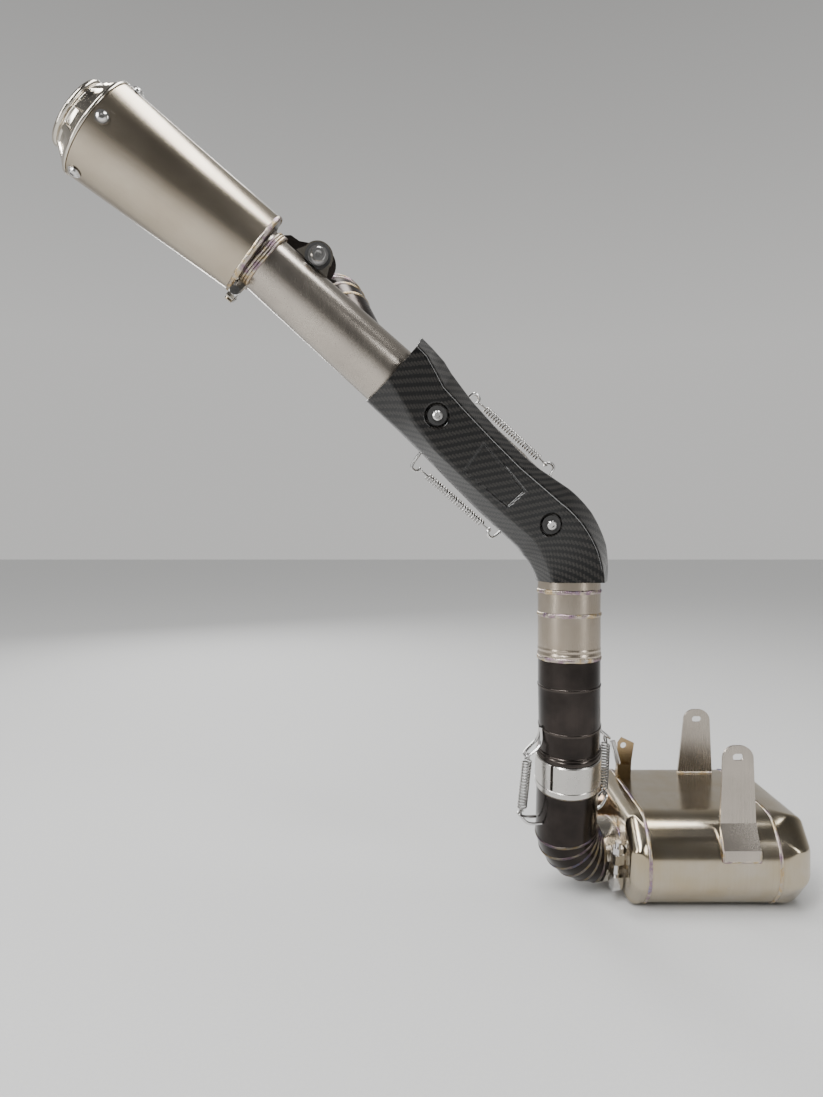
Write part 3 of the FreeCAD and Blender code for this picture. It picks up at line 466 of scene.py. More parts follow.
def weld_finish(name, shade):
    """Weld metal with gold, violet and silver bands."""
    f = Finish(name)
    place_of = f.add("ShaderNodeTexCoord").outputs["Object"]
    bands = f.noise(place_of, 60.0, 3.0, 0.6)
    grain = f.noise(place_of, 1400.0, 3.0, 0.6)
    stops = ((0.30, (0.52, 0.50, 0.50)), (0.42, (0.60, 0.44, 0.24)), (0.5, (0.62, 0.56, 0.46)),
             (0.60, (0.36, 0.24, 0.30)), (0.72, (0.32, 0.36, 0.50)))
    colour = f.ramp(bands, [(at, tuple(c * shade for c in tone)) for at, tone in stops])
    f.shade(Base_Color=colour, Metallic=1.0, Roughness=f.remap(grain, 0.3, 0.7, 0.22, 0.4))
    f.shade(Normal=f.bump(grain, 0.25, 0.0003))
    return f.material


def polished_finish(name, colour, rough, dirt):
    """Bright turned or polished metal with faint lines and fingerprints."""
    f = Finish(name)
    place_of = f.add("ShaderNodeTexCoord").outputs["Object"]
    film = f.noise(place_of, 45.0, 3.0, 0.55)
    lines = f.noise(f.stretched(place_of, (900, 900, 90)), 1.0, 4.0)
    tone = f.mix(f.remap(film, 0.45, 0.7, 0.0, dirt), rgb(*colour), rgb(*[c * 0.6 for c in colour]))
    f.shade(Base_Color=tone, Metallic=1.0, Roughness=f.remap(film, 0.3, 0.7, rough - 0.04, rough + 0.10))
    f.shade(Normal=f.bump(lines, 0.03, LINE_DEPTH))
    return f.material


# width of one carbon tow
TOW = 0.0023


def carbon_finish():
    """2x2 twill under clear coat, from the UVs in metres, with painted sheen on the warp tows and painted shade at
    the edges of each tow.
    """
    f = Finish("carbon_twill")
    uv = f.add("ShaderNodeTexCoord").outputs["UV"]
    turned = f.add("ShaderNodeMapping", {"Vector": uv, "Rotation": (0, 0, math.radians(8)),
                                         "Scale": (1 / TOW, 1 / TOW, 1)}).outputs[0]
    split = f.add("ShaderNodeSeparateXYZ", {"Vector": turned})
    u, v = split.outputs[0], split.outputs[1]
    cell_u = f.math("FLOOR", u)
    cell_v = f.math("FLOOR", v)
    phase = f.math("FLOORED_MODULO", f.math("SUBTRACT", cell_u, cell_v), 4.0)
    warp = f.math("LESS_THAN", phase, 2.0)
    part_u = f.math("FRACT", u)
    part_v = f.math("FRACT", v)

    def crown(part):
        off = f.math("SUBTRACT", part, 0.5)
        return f.math("SUBTRACT", 1.0, f.math("MULTIPLY", f.math("MULTIPLY", off, off), 3.4))

    across = f.add("ShaderNodeMix", {0: warp, 2: crown(part_v), 3: crown(part_u)}).outputs[0]
    strands_u = f.noise(f.stretched(turned, (22, 0.6, 1)), 1.0, 2.0)
    strands_v = f.noise(f.stretched(turned, (0.6, 22, 1)), 1.0, 2.0)
    strands = f.add("ShaderNodeMix", {0: warp, 2: strands_v, 3: strands_u}).outputs[0]
    # Painted sheen: the warp tows get a lit copy of the black fibre colour and the weft tows a shaded copy, with
    # strand streaks that are strongest in the sheen.
    sheen_tow_colour = f.mix(f.remap(strands, 0.3, 0.7, 0.0, 1.0), rgb(0.007, 0.0065, 0.006), rgb(0.034, 0.031, 0.028))
    shaded_tow_colour = f.mix(f.remap(strands, 0.3, 0.7, 0.0, 1.0), rgb(0.001, 0.001, 0.001), rgb(0.004, 0.004, 0.004))
    colour = f.mix(warp, shaded_tow_colour, sheen_tow_colour)
    # Painted shade: each tow darkens towards its rounded edges, nearly to black, following its crown.
    colour = f.mix(f.remap(across, 0.15, 0.88, 0.96, 0.0), colour, rgb(0.0015, 0.0015, 0.0015))
    height = f.math("MULTIPLY_ADD", strands, 0.15, across)
    rough = f.add("ShaderNodeMix", {0: warp, 2: 0.42, 3: 0.30}).outputs[0]
    f.shade(Base_Color=colour, Roughness=rough, Metallic=0.0)
    f.shade(Coat_Weight=1.0, Coat_Roughness=0.03, Coat_IOR=1.45)
    f.shade(Specular_IOR_Level=0.10, Normal=f.bump(height, 0.3, 0.0002))
    return f.material


def soft_finish(name, low, high, scale, rough, strength):
    """Matt rubber or felted wool."""
    f = Finish(name)
    place_of = f.add("ShaderNodeTexCoord").outputs["Object"]
    grain = f.noise(place_of, scale, 6.0, 0.7)
    f.shade(Base_Color=f.mix(grain, rgb(*low), rgb(*high)))
    f.shade(Roughness=f.remap(grain, 0.3, 0.7, rough - 0.1, rough))
    f.shade(Normal=f.bump(grain, strength, 0.0006))
    return f.material


TI = brushed("titanium_satin", (0.46, 0.395, 0.305), (0.51, 0.445, 0.355), 0.23, (2600, 6), use_uv=True)
TI_RUN = brushed("titanium_pipe", (0.45, 0.38, 0.30), (0.50, 0.435, 0.36), 0.28, (2600, 6), use_uv=True)
TI_NODE = brushed("titanium_sheet", (0.44, 0.395, 0.345), (0.51, 0.46, 0.40), 0.25, (1200, 12), heated=False)
TI_BOX = brushed("titanium_box", (0.46, 0.385, 0.265), (0.50, 0.45, 0.37), 0.19, (12, 1500), use_uv=True)
TI_DARK = brushed("titanium_dark", (0.030, 0.026, 0.024), (0.055, 0.046, 0.042), 0.22, (2600, 8),
                  use_uv=True, tint=0.8)
TI_DARK_NODE = brushed("titanium_dark_sheet", (0.055, 0.047, 0.043), (0.10, 0.085, 0.075), 0.24, heated=False)
TINTED = brushed("titanium_tinted", (0.50, 0.36, 0.19), (0.36, 0.25, 0.18), 0.20, (160, 900), heated=False)
WELD = weld_finish("weld_bead", 0.85)
WELD_DARK = weld_finish("weld_bead_dark", 0.26)
POLISHED = polished_finish("polished_metal", (0.66, 0.61, 0.53), 0.13, 0.3)
MACHINED = polished_finish("machined_metal", (0.60, 0.58, 0.55), 0.20, 0.1)
FASTENER = polished_finish("fastener_metal", (0.70, 0.69, 0.68), 0.17, 0.4)
SPRING = polished_finish("spring_wire", (0.38, 0.37, 0.355), 0.24, 0.5)
CARBON = carbon_finish()
RUBBER = soft_finish("bush_rubber", (0.010, 0.010, 0.010), (0.035, 0.034, 0.033), 700.0, 0.8, 0.3)
WOOL = soft_finish("packing_wool", (0.55, 0.50, 0.38), (0.80, 0.76, 0.66), 420.0, 1.0, 0.9)
OF_SLOT = {"ti": TI_NODE, "ti_dark": TI_DARK_NODE, "tinted": TINTED, "polished": POLISHED,
           "machined": MACHINED, "fastener": FASTENER, "spring": SPRING, "carbon": CARBON,
           "rubber": RUBBER, "wool": WOOL}


# ---- silencer -------------------------------------------------------------------------------
WINDOWS = 10
CONE_FROM = 0.0034
OUTLET_R = 0.0305
CORE_R = 0.023
# end of the cone along the sleeve's axis, where the outlet ring sits
CONE_TO = CAP.length - 0.020
SPIGOT_R = 0.0283
SPIGOT_WELDS = (-0.0028, -0.0004, 0.0020)


def silencer_pieces():
    length, r0, r1 = SLEEVE.length, SLEEVE.r0, SLEEVE.r1
    wall = 0.0012
    outer = [(t, r0 + (r1 - r0) * t / length) for t in np.linspace(0.0005, length - 0.0005, 50)]
    profile = [(0, r0 - wall), (0, r0 - 0.0005)] + outer + [(length, r1 - 0.0005), (length, r1 - wall)]

    def warm(points):
        along = (points - np.array(SLEEVE.start)) @ np.array(SLEEVE.axis)
        return 0.85 * np.exp(-np.abs(along) / 0.004) + 0.10 * np.exp(-np.abs(along - length) / 0.003)

    sleeve = revolved("sleeve_skin", profile, SLEEVE.start, SLEEVE.axis, 180, warm)
    place(sleeve, "silencer", "ti", TI, "silencer_sleeve")
    rim_at = SLEEVE.start - SLEEVE.axis * 0.0006
    rim = ring_bead("sleeve_weld", rim_at, SLEEVE.axis, r0 - 0.0002, 0.0048, 0.0011)
    place(rim, "silencer", "tinted", WELD)
    outlet_cap(length, r1)
    outlet_ring()
    beads = [ring_bead("spigot_welds", link(off), LINK_DIR, SPIGOT_R, 0.0030, 0.0007)
             for off in SPIGOT_WELDS]
    place(joined(beads), "silencer", "polished", WELD)


def outlet_cap(length, r1):
    """Polished cone with pressed windows between a rolled foot and the outlet ring."""
    lip = [(-0.018, r1 - 0.0030), (-0.018, r1 - 0.0014), (0.00005, r1 - 0.0014), (0.0001, r1 + 0.0005),
           (0.0008, r1 + 0.0008), (0.0018, r1 + 0.0008), (0.0027, r1 + 0.0004), (0.0030, r1 - 0.0002)]
    cone = [(CONE_FROM + (CONE_TO - CONE_FROM) * s, r1 - 0.0006 + (OUTLET_R - r1 + 0.0006) * s)
            for s in np.linspace(0, 1, 46)]
    inside = [(CONE_TO, OUTLET_R - 0.0014), (0.0022, r1 - 0.0034)]
    first = len(lip)
    last = first + len(cone)
    slope = math.atan2(r1 - OUTLET_R, CONE_TO - CONE_FROM)

    def pressed(along, radius, turn):
        s = (along - CONE_FROM) / (CONE_TO - CONE_FROM)
        pitch = 2 * math.pi / WINDOWS
        off = np.abs((turn + 0.4) % pitch - pitch / 2) / pitch
        wide = 0.37 - 0.03 * s
        mask = smoothstep(0.10, 0.20, s) * (1 - smoothstep(0.80, 0.90, s))
        mask = mask * (1 - smoothstep(wide - 0.05, wide, off))
        rows = np.zeros(along.shape)
        rows[first:last] = 1
        depth = 0.0019 * mask * rows
        return along - depth * math.sin(slope), radius - depth * math.cos(slope)

    cap = revolved("outlet_cone", lip + cone + inside, SLEEVE.end, SLEEVE.axis, 720, sharp=50, shape=pressed)
    place(cap, "silencer", "polished", POLISHED, "silencer_outlet_cap")


def outlet_ring():
    """Rolled ring that closes the cone on the perforated core."""
    foot = SLEEVE.end + SLEEVE.axis * CONE_TO
    arc = []
    for k in range(19):
        a = math.radians(-60 + 15 * k)
        arc.append((0.0026 + 0.0027 * math.sin(a), OUTLET_R - 0.0020 + 0.0027 * math.cos(a)))
    funnel = [(0.0030, OUTLET_R - 0.0048), (0.0012, CORE_R + 0.0016), (-0.026, CORE_R + 0.0013),
              (-0.026, CORE_R + 0.0001), (0.0002, CORE_R + 0.0001), (-0.0010, OUTLET_R - 0.0052)]
    ring = revolved("outlet_roll", arc + funnel, foot, SLEEVE.axis, 160, sharp=60)
    place(ring, "silencer", "polished", POLISHED, "silencer_outlet_ring")


# ---- link pipe and branch -------------------------------------------------------------------
BRANCH_ALONG = 0.112


def link_pieces():
    way_in = (LINK_OUT * -0.62 + LINK_UP * 0.35 - LINK_DIR * 0.70).normalized()
    way_out = Vector((-0.12, 0.97, 0.20)).normalized()
    rim = Round("branch_rim", way_out)
    root = link(BRANCH_ALONG, 0.002, -0.006)
    points = elbow_points(root + way_in * 0.066, way_in, way_out, 0.058, 4)
    welds = mitre_beads("branch_welds", points, rim.r0 - 0.0014, 0.0034, 0.0009)
    place(welds, "link", "tinted", WELD)
    rim_weld = ring_bead("branch_rim_weld", rim.start, rim.axis, rim.r0 - 0.0012, 0.003, 0.0012)
    place(rim_weld, "link", "tinted", WELD)


# ---- middle pipe ----------------------------------------------------------------------------
def planes_heat(planes, reach, top=1.0):
    """Heat that fades with the distance from weld planes, each a point and a normal."""
    def heat(points):
        value = np.zeros(len(points))
        for point, normal in planes:
            off = np.abs((points - np.array(point)) @ np.array(normal))
            value = np.maximum(value, np.exp(-off / reach))
        return top * value
    return heat


def mitred_rings(points, radius, step=0.003, columns=96):
    """Rings of a pipe along a polyline, with its corners on the mitre planes."""
    rings = []
    ways = [(points[i + 1] - points[i]).normalized() for i in range(len(points) - 1)]
    first, second = circle_frame(ways[0])
    turn = np.linspace(0, 2 * math.pi, columns, endpoint=False)
    for i, way in enumerate(ways):
        if i:
            spin = ways[i - 1].rotation_difference(way)
            first = np.array(spin @ Vector(first))
            second = np.array(spin @ Vector(second))
        spokes = radius * (np.cos(turn)[:, None] * first + np.sin(turn)[:, None] * second)
        ends = []
        for k, other in ((i, i - 1), (i + 1, i + 1)):
            normal = way if other < 0 or other >= len(ways) else (way + ways[other]).normalized()
            drop = spokes @ np.array(normal) / way.dot(normal)
            ends.append(np.array(points[k]) + spokes - drop[:, None] * np.array(way))
        count = max(int((points[i + 1] - points[i]).length / step), 2)
        for k in range(count + (i == len(ways) - 1)):
            rings.append(ends[0] + (ends[1] - ends[0]) * k / count)
    return rings


def mitred_pipe(name, points, outer, inner, heat):
    rings = mitred_rings(points, outer) + mitred_rings(points, inner)[::-1]
    return surface(name, rings, wrap_along=True, heat=heat, sharp=12)


def turned_pipe(name, part, heat, bumps=()):
    """Straight pipe over a round CAD node, with raised rings given by place, width and height."""
    along = np.linspace(0.0002, part.length - 0.0002, max(int(part.length / 0.0006), 12))
    radius = np.full(len(along), part.r0)
    for where, width, height in bumps:
        radius = radius + height * np.exp(-((along - where) / width) ** 2)
    profile = [(0, part.r0 - 0.0012), (0, part.r0 - 0.0002)] + list(zip(along, radius))
    profile += [(part.length, part.r0 - 0.0002), (part.length, part.r0 - 0.0012)]
    return revolved(name, profile, part.start, part.axis, 128, heat)


def middle_pieces():
    sleeve = Round("middle_sleeve", DOWN)
    upper_weld = NECK.start + DOWN * 0.0101
    heat = planes_heat([(upper_weld, DOWN), (NECK.end, DOWN)], 0.0045)
    place(turned_pipe("neck_skin", NECK, heat), "middle", "ti", TI_RUN, "middle_neck")
    body = turned_pipe("sleeve_ring", sleeve, planes_heat([(sleeve.start, DOWN), (sleeve.end, DOWN)], 0.0035),
                       [(sleeve.length - 0.0035, 0.0014, 0.0007), (sleeve.length - 0.0085, 0.0008, 0.0004)])
    place(body, "middle", "ti", TI_RUN, "middle_sleeve")
    welds = [ring_bead("middle_welds", where, DOWN, PIPE_R, 0.0044, 0.0009)
             for where in (upper_weld, NECK.end, sleeve.end)]
    place(joined(welds), "middle", "tinted", WELD)
    corner = Vector((sleeve.end.x, sleeve.end.y, sleeve.end.z - 0.0261))
    points = [sleeve.end, corner, COLLAR_TOP, lean(0.022)]
    mitres = [(corner, (DOWN + (COLLAR_TOP - corner).normalized()).normalized()), (COLLAR_TOP, LEAN_DIR)]
    pipe = mitred_pipe("leaning_pipe", points, PIPE_R, PIPE_R - 0.0012, planes_heat(mitres, 0.0035, 0.8))
    place(pipe, "middle", "ti_dark", TI_DARK, "middle_leaning_pipe")
    place(mitre_beads("leaning_welds", points, PIPE_R, 0.0030, 0.0005), "middle", "ti_dark", TI_DARK_NODE)
    spigot_skin()


def spigot_skin():
    """Stepped end of the leaning pipe, with rings above the slip collar."""
    r = PIPE_R
    shape = [(0.0221, r), (0.0232, r + 0.0010), (0.0242, r + 0.0002), (0.0252, r + 0.0002),
             (0.0262, r + 0.0013), (0.0272, r + 0.0004), (0.0280, r + 0.0004), (0.0290, r + 0.0013),
             (0.0303, r + 0.0012), (0.0304, r - 0.0008), (0.0596, r - 0.0008), (0.0600, r - 0.0012),
             (0.0600, r - 0.0022), (0.0221, r - 0.0022)]
    skin = revolved("spigot_rings", shape, COLLAR_TOP, LEAN_DIR, 128, sharp=50)
    place(skin, "middle", "ti_dark", TI_DARK_NODE, "lower_spigot")


# ---- elbow ----------------------------------------------------------------------------------
ELBOW_R = 0.036
ELBOW_CUTS = 6


def elbow_pieces():
    outer, inner = PIPE_R + 0.0006, PIPE_R - 0.0006
    reach = ELBOW_R * math.tan(LEAN_DIR.angle(STUB.axis) / 2)
    corner = STUB.start - STUB.axis * (reach + 0.00005)
    points = [COLLAR.end] + elbow_points(corner, LEAN_DIR, STUB.axis, ELBOW_R, ELBOW_CUTS)[1:]
    mitres = [(point, plane) for point, before, plane in mitres_of(points)]
    heat = planes_heat(mitres + [(points[0], LEAN_DIR), (points[-1], STUB.axis)], 0.0028, 0.95)
    skin = mitred_pipe("elbow_skin", points, outer, inner, heat)
    place(skin, "collector", "ti_dark", TI_DARK, "lower_elbow")
    welds = [mitre_beads("elbow_welds", points, outer, 0.0028, 0.0006),
             ring_bead("elbow_welds", COLLAR.end + LEAN_DIR * 0.001, LEAN_DIR, outer, 0.0034, 0.0010)]
    place(joined(welds), "collector", "tinted", WELD_DARK)
    rings = [ring_bead("stub_welds", STUB.start + STUB.axis * off, STUB.axis, STUB.r0, 0.0032, 0.0008)
             for off in (0.010, 0.017)]
    place(joined(rings), "collector", "tinted", WELD)


# ---- springs and hooks ----------------------------------------------------------------------
WIRE_R = 0.0009
HOOK_WIRE = 0.0015
COIL_STEPS = 16
LOOP_STEPS = 13
LOOP_TURN = 240


def coil_spring(name, top, bottom, radius, side, hook, turns):
    """Close-wound tension spring with a loop at each end."""
    way = (bottom - top).normalized()
    other = way.cross(side).normalized()
    first = top + way * hook
    run = (bottom - top).length - 2 * hook
    path = []
    loop = radius * 0.75
    for k in range(LOOP_STEPS + 1):
        a = math.radians(-150 + LOOP_TURN * k / LOOP_STEPS)
        path.append(top + way * (loop - loop * math.sin(a)) - side * (loop * math.cos(a)))
    for k in range(turns * COIL_STEPS + 1):
        a = 2 * math.pi * k / COIL_STEPS
        spoke = side * math.cos(a) + other * math.sin(a)
        path.append(first + way * (run * k / (turns * COIL_STEPS)) + spoke * radius)
    for k in range(LOOP_STEPS + 1):
        a = math.radians(90 - LOOP_TURN * k / LOOP_STEPS)
        path.append(bottom - way * (loop - loop * math.sin(a)) + side * (loop * math.cos(a)))
    rings = swept([tuple(point) for point in path], WIRE_R, 7)
    return surface(name, rings, caps=True, sharp=80)


RIGHT_UP = 0.0372
LEFT_UP = -0.0451
LINK_HOOK_AT = 0.217
BEND_HOOK_AT = 0.317
SPRING_TOP = 0.024
SPRING_BOTTOM = 0.0885
LOWER_SPRINGS = (("lower_spring_left", 160, 0.0447, 0.0505), ("lower_spring_right", -20, 0.042, 0.042))


def spring_pieces():
    for node, up in (("upper_spring_right", RIGHT_UP), ("upper_spring_left", LEFT_UP)):
        top = link(LINK_HOOK_AT + 0.0045, up)
        bottom = link(BEND_HOOK_AT - 0.0045, up)
        coil = coil_spring(node + "_coil", top, bottom, 0.0028, LINK_OUT, 0.0105, 24)
        place(coil, None, "spring", SPRING, node)
        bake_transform(coil)
    for node, turn, top_r, bottom_r in LOWER_SPRINGS:
        side = collar_dir(turn)
        top = lean(SPRING_TOP - 0.001) + side * top_r
        bottom = lean(SPRING_BOTTOM + 0.001) + side * bottom_r
        across = LEAN_DIR.cross(side).normalized()
        coil = coil_spring(node + "_coil", top, bottom, 0.0041, across, 0.0080, 16)
        place(coil, None, "spring", SPRING, node)
        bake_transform(coil)


# places of an upper anchor's wire: its two foot points on the pipe, then its curve into the spring's eye
LINK_FEET = ((0.009, 0.0292), (0.004, 0.0305))
BEND_FEET = ((0.010, 0.0297), (0.005, 0.031))
HOOK_CURVE = ((-0.003, 0.004), (0.003, 0.0045), (0.0065, 0.001), (0.0055, -0.002))


def anchor_path(at, way, up, feet):
    """Wire of an upper anchor; way is 1 where it reaches down the pipe and -1 where it reaches up it."""
    side = 1 if up > 0 else -1
    path = [link(at - way * back, side * rise) for back, rise in feet]
    return path + [link(at + way * ahead, up + side * off) for ahead, off in HOOK_CURVE]


def hook_pieces():
    """Bent wire anchors that hold the four springs."""
    link_paths = [anchor_path(LINK_HOOK_AT, 1, up, LINK_FEET) for up in (RIGHT_UP, LEFT_UP)]
    bend_paths = [anchor_path(BEND_HOOK_AT, -1, up, BEND_FEET) for up in (RIGHT_UP, LEFT_UP)]
    place(wire("link_hooks", link_paths, HOOK_WIRE), "link", "fastener", FASTENER, "link_spring_hooks")
    place(wire("bend_hooks", bend_paths, HOOK_WIRE), "middle", "fastener", FASTENER, "bend_spring_hooks")
    upper = []
    lower = []
    for node, turn, top_r, bottom_r in LOWER_SPRINGS:
        side = collar_dir(turn)
        across = side.cross(LEAN_DIR).normalized()
        for hand in (-1, 1):
            eye = lean(SPRING_TOP + 0.0005) + side * (top_r + 0.003)
            upper.append([lean(SPRING_TOP - 0.026) + side * (PIPE_R + 0.0014) + across * 0.001 * hand,
                          lean(SPRING_TOP - 0.012) + side * (PIPE_R + 0.0018) + across * 0.004 * hand,
                          lean(SPRING_TOP - 0.006) + side * (PIPE_R + 0.008) + across * 0.0055 * hand,
                          eye + across * 0.0035 * hand, eye])
        low = lean(SPRING_BOTTOM + 0.012) + side * (PIPE_R + 0.0012)
        knee = lean(SPRING_BOTTOM + 0.009) + side * (bottom_r - 0.004)
        eye = lean(SPRING_BOTTOM - 0.001) + side * (bottom_r + 0.003)
        lower.append([low + across * -0.006, knee + across * -0.006, eye + across * -0.004,
                      eye + across * 0.004, knee + across * 0.006, low + across * 0.006])
    place(wire("collar_hooks", upper, HOOK_WIRE), "middle", "fastener", FASTENER, "collar_spring_hooks")
    place(wire("elbow_hooks", lower, HOOK_WIRE), "collector", "fastener", FASTENER, "elbow_spring_hooks")


# ---- carbon heat shield ---------------------------------------------------------------------
FACE = 0.039
SIDE_EDGE = 0.006
SHELL = 0.002
SIDE_TURN = 0.017
SHIELD_STEP = 0.0008
SHIELD_RADII = (0.004, 0.0025, 0.0025, 0.002)
SHIELD_COUNTS = (16, 16, 84, 16, 16)
BEND_LENGTH = BEND_R * BEND_TURN
# in millimetres: distance along the pipe, reach of the low and high edges, reach of the low and high
# creases, and how far out the high side turns
SHIELD_ROWS = ((144, 31.4, 43, 8, 32, 17), (157, 31.8, 42.5, 11, 31, 17), (173, 32.1, 41, 16, 25.5, 17),
               (185, 32.4, 37.5, 20, 21, 17), (215, 34, 31.5, 25, 18.5, 19), (250, 36.5, 27.5, 26, 16, 24),
               (285, 38.5, 26, 26, 14.5, 25), (302, 39, 27, 26, 15, 24.5), (337.8, 40, 32.5, 25, 16, 21),
               (362, 40, 36, 25, 20, 18), (387, 37, 37, 24, 24, 17), (412.4, 33, 33.5, 22, 26, 17))
RECESS = ((0.2468, -0.0218), (0.2990, -0.0196), (0.3012, 0.0), (0.2439, 0.0084))
DIMPLES = ((0.1962, -0.0014), (0.3417, -0.0050))


def shield_place(along):
    """Centre, direction, upward and outward vectors of the shield at a distance along the pipe."""
    if along <= BEND_FROM:
        origin, direction = link(along), LINK_DIR
    else:
        origin, direction = bend_place(min((along - BEND_FROM) / BEND_LENGTH, 1.0))
    return (origin, direction, *side_frame(direction))


def rounded_outline(corners, radii, counts, arc=9):
    """Points along a polyline with rounded inner corners; counts are the points on each straight run."""
    corners = [np.array(corner, float) for corner in corners]
    points = []
    start = corners[0]
    for i in range(1, len(corners)):
        way = corners[i] - corners[i - 1]
        way = way / np.linalg.norm(way)
        end = corners[i] - way * radii[i - 1] if i < len(corners) - 1 else corners[i]
        points += [start + (end - start) * k / counts[i - 1] for k in range(counts[i - 1])]
        if i == len(corners) - 1:
            points.append(end)
            break
        on = corners[i + 1] - corners[i]
        start = corners[i] + on / np.linalg.norm(on) * radii[i - 1]
        for k in range(arc):
            t = k / arc
            points.append(end * (1 - t) ** 2 + corners[i] * 2 * t * (1 - t) + start * t ** 2)
    return np.array(points)


def pressed_depth(along, up):
    """Depth of the shield's recessed panel and screw dimples at a place on its face."""
    corners = np.array(RECESS)
    inside = np.full(up.shape, 1.0)
    for a, b in zip(corners, np.roll(corners, -1, 0)):
        edge = (b - a) / np.linalg.norm(b - a)
        inside = np.minimum(inside, -(along - a[0]) * edge[1] + (up - a[1]) * edge[0])
    lip = np.exp(-((inside + 0.0013) / 0.0007) ** 2) * smoothstep(0.262, 0.284, along)
    depth = 0.0017 * smoothstep(-0.0006, 0.0008, inside) - 0.0006 * lip
    for s, u in DIMPLES:
        off = np.hypot(along - s, up - u)
        depth = depth + 0.0016 * (1 - smoothstep(0.0096, 0.0118, off))
    return depth


def shield_piece():
    table = np.array(SHIELD_ROWS) / 1000
    first, last = table[0, 0], table[-1, 0]
    lengths = np.append(np.arange(first, last - 0.0005, SHIELD_STEP), last)
    rings = []
    for along in lengths:
        sizes = [np.interp(along, table[:, 0], table[:, k]) for k in range(1, 6)]
        low, high, crease_low, crease_high, turn = sizes
        origin, direction, up, out = shield_place(along)
        corners = [(-low, SIDE_EDGE), (-low, SIDE_TURN), (-crease_low, FACE), (crease_high, FACE),
                   (high, turn), (high, SIDE_EDGE + 2 * (turn - SIDE_TURN))]
        outer = rounded_outline(corners, SHIELD_RADII, SHIELD_COUNTS)
        normals = np.gradient(outer, axis=0)
        normals = np.stack([-normals[:, 1], normals[:, 0]], 1)
        normals /= np.linalg.norm(normals, axis=1)[:, None]
        inner = (outer - normals * SHELL)[::-1][::4]
        depth = pressed_depth(np.full(len(outer), along), outer[:, 0]) * (outer[:, 1] > FACE - 0.0004)
        outer = outer - normals * depth[:, None]
        section = np.concatenate([outer, inner])
        rings.append(np.array(origin) + section[:, :1] * np.array(up) + section[:, 1:] * np.array(out))
    shell = surface("carbon_shield", rings, caps=True, sharp=55)
    place(shell, "middle", "carbon", CARBON, "heat_shield")


# ---- collector box --------------------------------------------------------------------------
BOX_LOW, BOX_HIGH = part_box("collector_shell")
RIGHT_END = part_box("collector_right_cap")[1].x
LEFT_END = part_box("collector_left_cap")[0].x
BOX_Y = (BOX_LOW.y + BOX_HIGH.y) / 2
BOX_Z = (BOX_LOW.z + BOX_HIGH.z) / 2
HALF_Y = (BOX_HIGH.y - BOX_LOW.y) / 2
HALF_Z = (BOX_HIGH.z - BOX_LOW.z) / 2
FLAT_Y = 0.073
FLAT_Z = 0.018
CORNER = 0.015


def box_loop(x, shrink=0.0, lift=0.0, corner=CORNER):
    """Rounded octagonal loop of the box at an X, made smaller by a distance."""
    hy, hz = HALF_Y - shrink, HALF_Z - shrink
    fy, fz = FLAT_Y - shrink * 0.42, FLAT_Z - shrink * 0.42
    half = [(0, hz), (-fy, hz), (-hy, fz), (-hy, -fz), (-fy, -hz), (0, -hz)]
    left = rounded_outline(half, (corner,) * 4, (14, 10, 10, 10, 14))
    right = left[::-1][1:-1] * np.array([-1, 1])
    loop = np.concatenate([left, right])
    return np.stack([np.full(len(loop), x), BOX_Y + loop[:, 0], BOX_Z + lift + loop[:, 1]], 1)


def loop_outs(loop):
    """Outward vectors along a box loop."""
    way = np.roll(loop, -1, 0) - np.roll(loop, 1, 0)
    outs = np.stack([np.zeros(len(loop)), -way[:, 2], way[:, 1]], 1)
    outs /= np.linalg.norm(outs, axis=1)[:, None]
    centre = loop.mean(0)
    return outs if ((loop - centre) * outs).sum() > 0 else -outs


def box_end(name, start, end, shrink, lift, heat):
    """Pressed end of the box: rounds over towards a flat face."""
    loops = []
    for t in np.linspace(0, 1, 30):
        corner = CORNER - 0.012 * smoothstep(0.0, 0.35, t)
        x = start + (end - start) * math.sin(t * math.pi / 2) ** 0.95
        loops.append(box_loop(x, shrink * t ** 2.3, lift * t ** 2, corner))
    for k in range(1, 9):
        loops.append(box_loop(end, shrink + 0.0025 * k, lift, 0.003 - 0.0003 * k))
    return surface(name, loops, caps=True, heat=heat, sharp=50)


def box_pieces():
    x0, x1 = BOX_LOW.x, BOX_HIGH.x
    seam_heat = planes_heat([((x0, 0, 0), X_AXIS), ((x1, 0, 0), X_AXIS)], 0.009)
    xs = np.concatenate([np.linspace(x0, x0 + 0.02, 14), np.linspace(x0 + 0.024, x1 - 0.016, 20),
                         np.linspace(x1 - 0.013, x1, 12)])
    outer = [box_loop(x) for x in xs]
    inner = [box_loop(x, 0.0015) for x in (x1, x0)]
    shell = surface("collector_skin", outer + inner, wrap_along=True, heat=seam_heat, sharp=40)
    place(shell, "collector", "ti", TI_BOX, "collector_shell")
    warm_right = planes_heat([((x1, 0, 0), X_AXIS)], 0.007)
    place(box_end("right_cap_skin", x1, RIGHT_END, 0.020, 0.006, warm_right), "collector", "ti", TI_BOX,
          "collector_right_cap")
    warm_left = planes_heat([((x0, 0, 0), X_AXIS), ((LEFT_END, 0, 0), X_AXIS)], 0.009)
    place(box_end("left_cap_skin", x0, LEFT_END, 0.014, 0.0, warm_left), "collector", "tinted", TI_BOX,
          "collector_left_cap")
    seams = []
    for x in (x0, x1):
        loop = box_loop(x, -0.0001)
        seams.append(bead("box_seams", loop, loop_outs(loop), 0.0036, 0.0008))
    place(joined(seams), "collector", "tinted", WELD)


